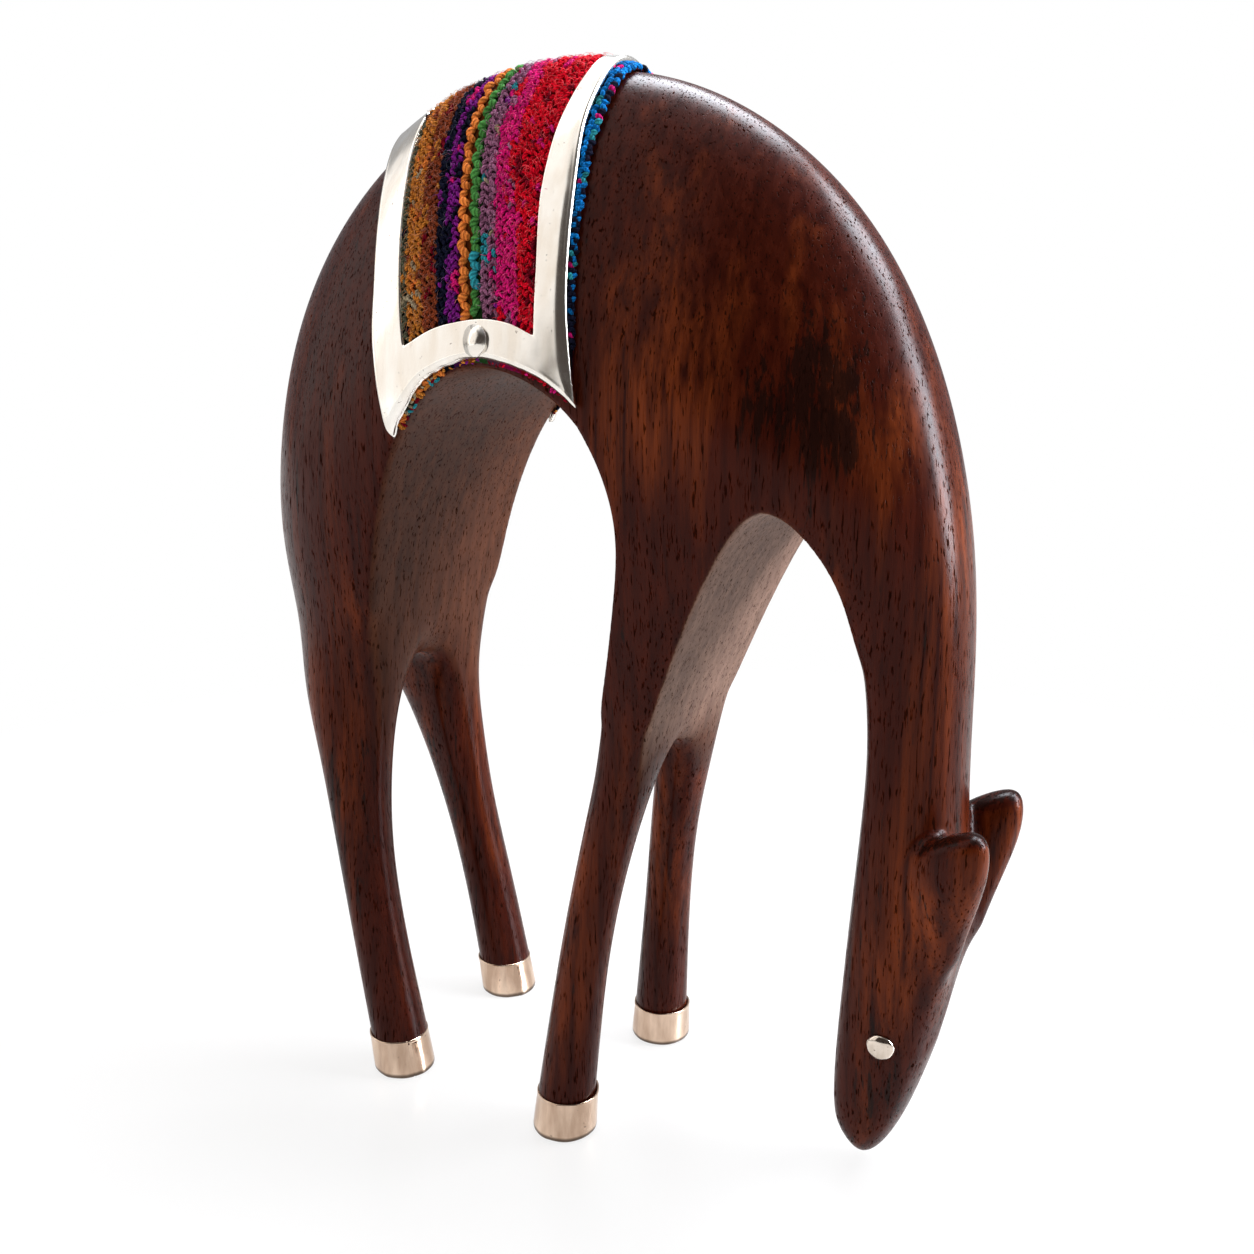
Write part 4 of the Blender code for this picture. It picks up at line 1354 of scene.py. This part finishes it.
def paint_wood(skin):
    """Vertex values for the material: the undersides, which are rougher and painted paler with light
    reflected from the floor, and where the wood is warm or charred.
    """
    data = skin.data
    points = vertex_array(data) / MM + (ORIGIN_X, 0, 0)
    normals = np.zeros(len(data.vertices) * 3)
    data.vertices.foreach_get("normal", normals)
    normals = normals.reshape(-1, 3)
    x, z = points[:, 0], points[:, 2]
    uneven = np.array([noise.noise(Vector((p[0] * 0.12, p[1] * 0.12, p[2] * 0.03))) for p in points])
    faces_in = fade(np.abs(normals[:, 1]) + 0.12 * uneven, 0.72, 0.4)

    belly = [(-62, 80), (-57.5, 104)] + [rib.belly for rib in HIND_RIBS + TORSO_RIBS + SHOULDER_RIBS[:1]]
    belly += [slab.rear for slab in FRONT_SLABS] + [(8, 96)]
    throat = [(16, 88)] + [slab.front for slab in FRONT_SLABS[::-1]] + [SHOULDER_RIBS[-1].belly]
    throat += [rib.belly for rib in NECK_RIBS]
    near_belly, near_throat = (fade(distance_to(points[:, ::2], smooth_line(line)), 6.5, 3.0)
                               for line in (belly, throat))
    low = z + 8 * uneven
    # The throat's painted floor light ends higher on the neck than on the forelegs.
    on_neck = fade(x, 50, 58)
    throat_low = fade(low, 84 + 20 * on_neck, 108 + 32 * on_neck)
    under = np.maximum(0.5 * near_belly * fade(low, 78, 116), near_throat * throat_low) * faces_in

    ear = fade(x + 6 * uneven, 84, 90) * fade(z, 56, 76)
    tops = fade(normals[:, 2] + 0.2 * uneven, 0.25, 0.7) * fade(z, 80, 86) * (z < 100) * fade(x, 74, 78)
    warm = np.maximum(in_zones(x, z, WARM_ZONES), 0.75 * ear) - 2 * tops
    char = in_zones(x, z, CHAR_ZONES) + 0.6 * tops
    for name, values in (("under", under), ("warm", warm), ("char", char)):
        point_value(skin, name, values)


# Camera and light


LENS, SENSOR = 35.91, 36.0
CAMERA_PLACE = (0.15253, -0.25395, 0.19045)
CAMERA_ANGLES = (30.236, 13.124)


def aim(obj, place, direction):
    """Puts a camera or a light in its place and points it."""
    obj.location = place
    obj.rotation_mode = "QUATERNION"
    obj.rotation_quaternion = direction.to_track_quat("-Z", "Y")


def camera():
    data = bpy.data.cameras.new("camera")
    data.lens, data.sensor_width = LENS, SENSOR
    data.clip_start, data.clip_end = 0.01, 20
    obj = link(bpy.data.objects.new("camera", data))
    azimuth, elevation = (math.radians(angle) for angle in CAMERA_ANGLES)
    back = Vector((math.sin(azimuth) * math.cos(elevation), -math.cos(azimuth) * math.cos(elevation),
                   math.sin(elevation)))
    aim(obj, CAMERA_PLACE, -back)
    bpy.context.scene.camera = obj


COOL, COOL_SHEEN = (0.88, 0.93, 1.0), (0.84, 0.91, 1.0)
# Lit panels of a given radiance. Those for sheen show in glossy surfaces only.
Panel = namedtuple("Panel", "name place target size brightness color sheen")
PANELS = [
    Panel("crest", (0.55, 0.38, 0.87), (0.03, 0, 0.17), (0.45, 0.45), 15.0, COOL, False),
    Panel("neck", (0.92, 0.38, 0.42), (0.05, 0, 0.14), (0.36, 0.65), 17.0, COOL, False),
    Panel("top", (0.0, 0.36, 1.07), (0, 0, 0.18), (0.55, 0.5), 11.0, COOL, False),
    Panel("crest_sheen", (0.57, 0.36, 0.85), (0.03, 0, 0.17), (0.42, 0.42), 26.0, COOL_SHEEN, True),
    Panel("neck_sheen", (0.92, 0.32, 0.42), (0.05, 0, 0.14), (0.32, 0.65), 26.0, COOL_SHEEN, True),
    Panel("top_sheen", (-0.10, 0.36, 1.05), (0, 0, 0.18), (0.62, 0.45), 19.0, COOL_SHEEN, True),
    Panel("left", (-0.68, -0.70, 0.72), (0, 0, 0.15), (1.15, 1.4), 1.02, (1.0, 0.975, 0.945), False),
    Panel("rear", (-1.0, -0.26, 0.60), (0, 0, 0.18), (0.6, 0.9), 0.9, (1.0, 0.965, 0.93), False),
    Panel("ceiling", (-0.28, 0.0, 1.15), (0, 0, 0.18), (1.0, 0.9), 0.95, (1.0, 0.985, 0.96), False),
]


def softbox(panel):
    data = bpy.data.lights.new(panel.name, "AREA")
    data.shape = "RECTANGLE"
    data.size, data.size_y = panel.size
    data.energy = panel.brightness * math.pi * panel.size[0] * panel.size[1]
    data.color = panel.color
    obj = link(bpy.data.objects.new(panel.name, data))
    obj.visible_diffuse = not panel.sheen
    aim(obj, panel.place, Vector(panel.target) - Vector(panel.place))


# The room behind the animal is pale, and the side from which it is seen is dark. It turns from one to the
# other by y and a share of z of the direction.
ROOM_DARK, ROOM_PALE = (0.06, 0.05, 0.045), (0.42, 0.43, 0.45)
ROOM_TURN = (-0.15, 0.55)
ROOM_RISE = 0.55


def room():
    """The world: reflections see the room, and the camera sees plain white."""
    made = Nodes(bpy.data.worlds.new("studio"))
    split = made.add("SeparateXYZ", {0: made.add("TexCoord").outputs["Generated"]})
    level = made.math("MULTIPLY_ADD", split.outputs["Z"], ROOM_RISE, split.outputs["Y"])
    around = made.tree.nodes["Background"]
    made.put(around.inputs["Color"], made.mix(made.ramp(level, *ROOM_TURN), ROOM_DARK, ROOM_PALE))
    white = made.add("Background", {"Color": (1, 1, 1)})
    seen = made.add("LightPath").outputs["Is Camera Ray"]
    mixed = made.add("MixShader", {0: seen, 1: around, 2: white})
    made.put(made.tree.nodes["World Output"].inputs["Surface"], mixed)
    bpy.context.scene.world = made.owner


FLOOR_CORNERS = ((-1, -1), (1, -1), (1, 1), (-1, 1))
FLOOR_HALF = 6.0
FLOOR_LEVEL = -0.00002


def studio():
    room()
    for panel in PANELS:
        softbox(panel)
    corners = [(x * FLOOR_HALF, y * FLOOR_HALF, FLOOR_LEVEL) for x, y in FLOOR_CORNERS]
    floor = grid_mesh("floor", np.array(corners), [(0, 1, 2, 3)], smooth=False)
    floor.data.materials.append(floor_material())
    bpy.context.scene.view_settings.view_transform = "Standard"


def dress(piece, slot, *nodes):
    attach(piece, "root")
    if nodes:
        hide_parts(*nodes)


def main():
    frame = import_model()
    dice = random.Random(SEED)

    body = smooth_object("body_form", body_cage(), True)
    ears = [smooth_object("ear_form", ear_cage(side), False) for side in (1, -1)]
    skin = wood_skin(body, ears)
    skin_tree = tree_of(skin)
    back = Back(tree_of(body))
    paint_wood(skin)
    skin.data.materials.clear()
    skin.data.materials.append(wood_material())
    wood_nodes = [name for name in frame["nodes"]
                  if name in ("torso", "neck", "head") or name.startswith(("ear_", "front_leg", "hind_leg"))]
    dress(skin, "wood", *wood_nodes)
    for obj in [body] + ears:
        bpy.data.objects.remove(obj)

    polished = silver_material("silver_polished", (0.84, 0.775, 0.69), (0.92, 0.885, 0.83), 0.19)
    worn = silver_material("silver_worn", (0.46, 0.32, 0.23), (0.74, 0.56, 0.43), 0.2)
    studs = silver_material("silver_studs", (0.50, 0.41, 0.33), (0.78, 0.69, 0.60), 0.12)
    plate = saddle_frame(back)
    plate.data.materials.append(polished)
    dress(plate, SILVER_SLOT, "saddle_frame")
    plate_tree = tree_of(plate)
    for label, side in (("left", 1), ("right", -1)):
        eye = stud("eye_silver_" + label, skin_tree, *EYE, side, dome_profile(EYE_RADIUS, 1.5, 0.0, 1.0))
        rivet = stud("rivet_silver_" + label, plate_tree, *RIVET, side,
                     dome_profile(RIVET_RADIUS - 0.85, 0.9, 0.45, 0.8), 1.22, 2.0)
        front = hoof_cap("hoof_cap_silver_front_" + label, FRONT_CAP_X, FRONT_CAP_Y, side, None)
        hind = hoof_cap("hoof_cap_silver_hind_" + label, HIND_CAP_X, HIND_CAP_Y, side, CAP_SEAM)
        for piece, node, silver in ((eye, "eye_", studs), (rivet, "rivet_", polished),
                                    (front, "hoof_cap_front_", worn), (hind, "hoof_cap_hind_", worn)):
            piece.data.materials.append(silver)
            dress(piece, SILVER_SLOT, node + label)

    yarns = [yarn_material(name, color) for name, color in YARN_COLORS.items()]
    cloth, length = cloth_sheet(back)
    stitches, tops = window_stitches(back, dice)
    edge = edge_stitches(back, dice)
    fibres = fuzz(back, tops, dice)
    for piece in (cloth, stitches, edge, fibres):
        for yarn in yarns:
            piece.data.materials.append(yarn)
    dress(cloth, "wool", "saddle_cloth")
    for piece in (stitches, edge, fibres):
        dress(piece, "wool")

    studio()
    camera()


main()
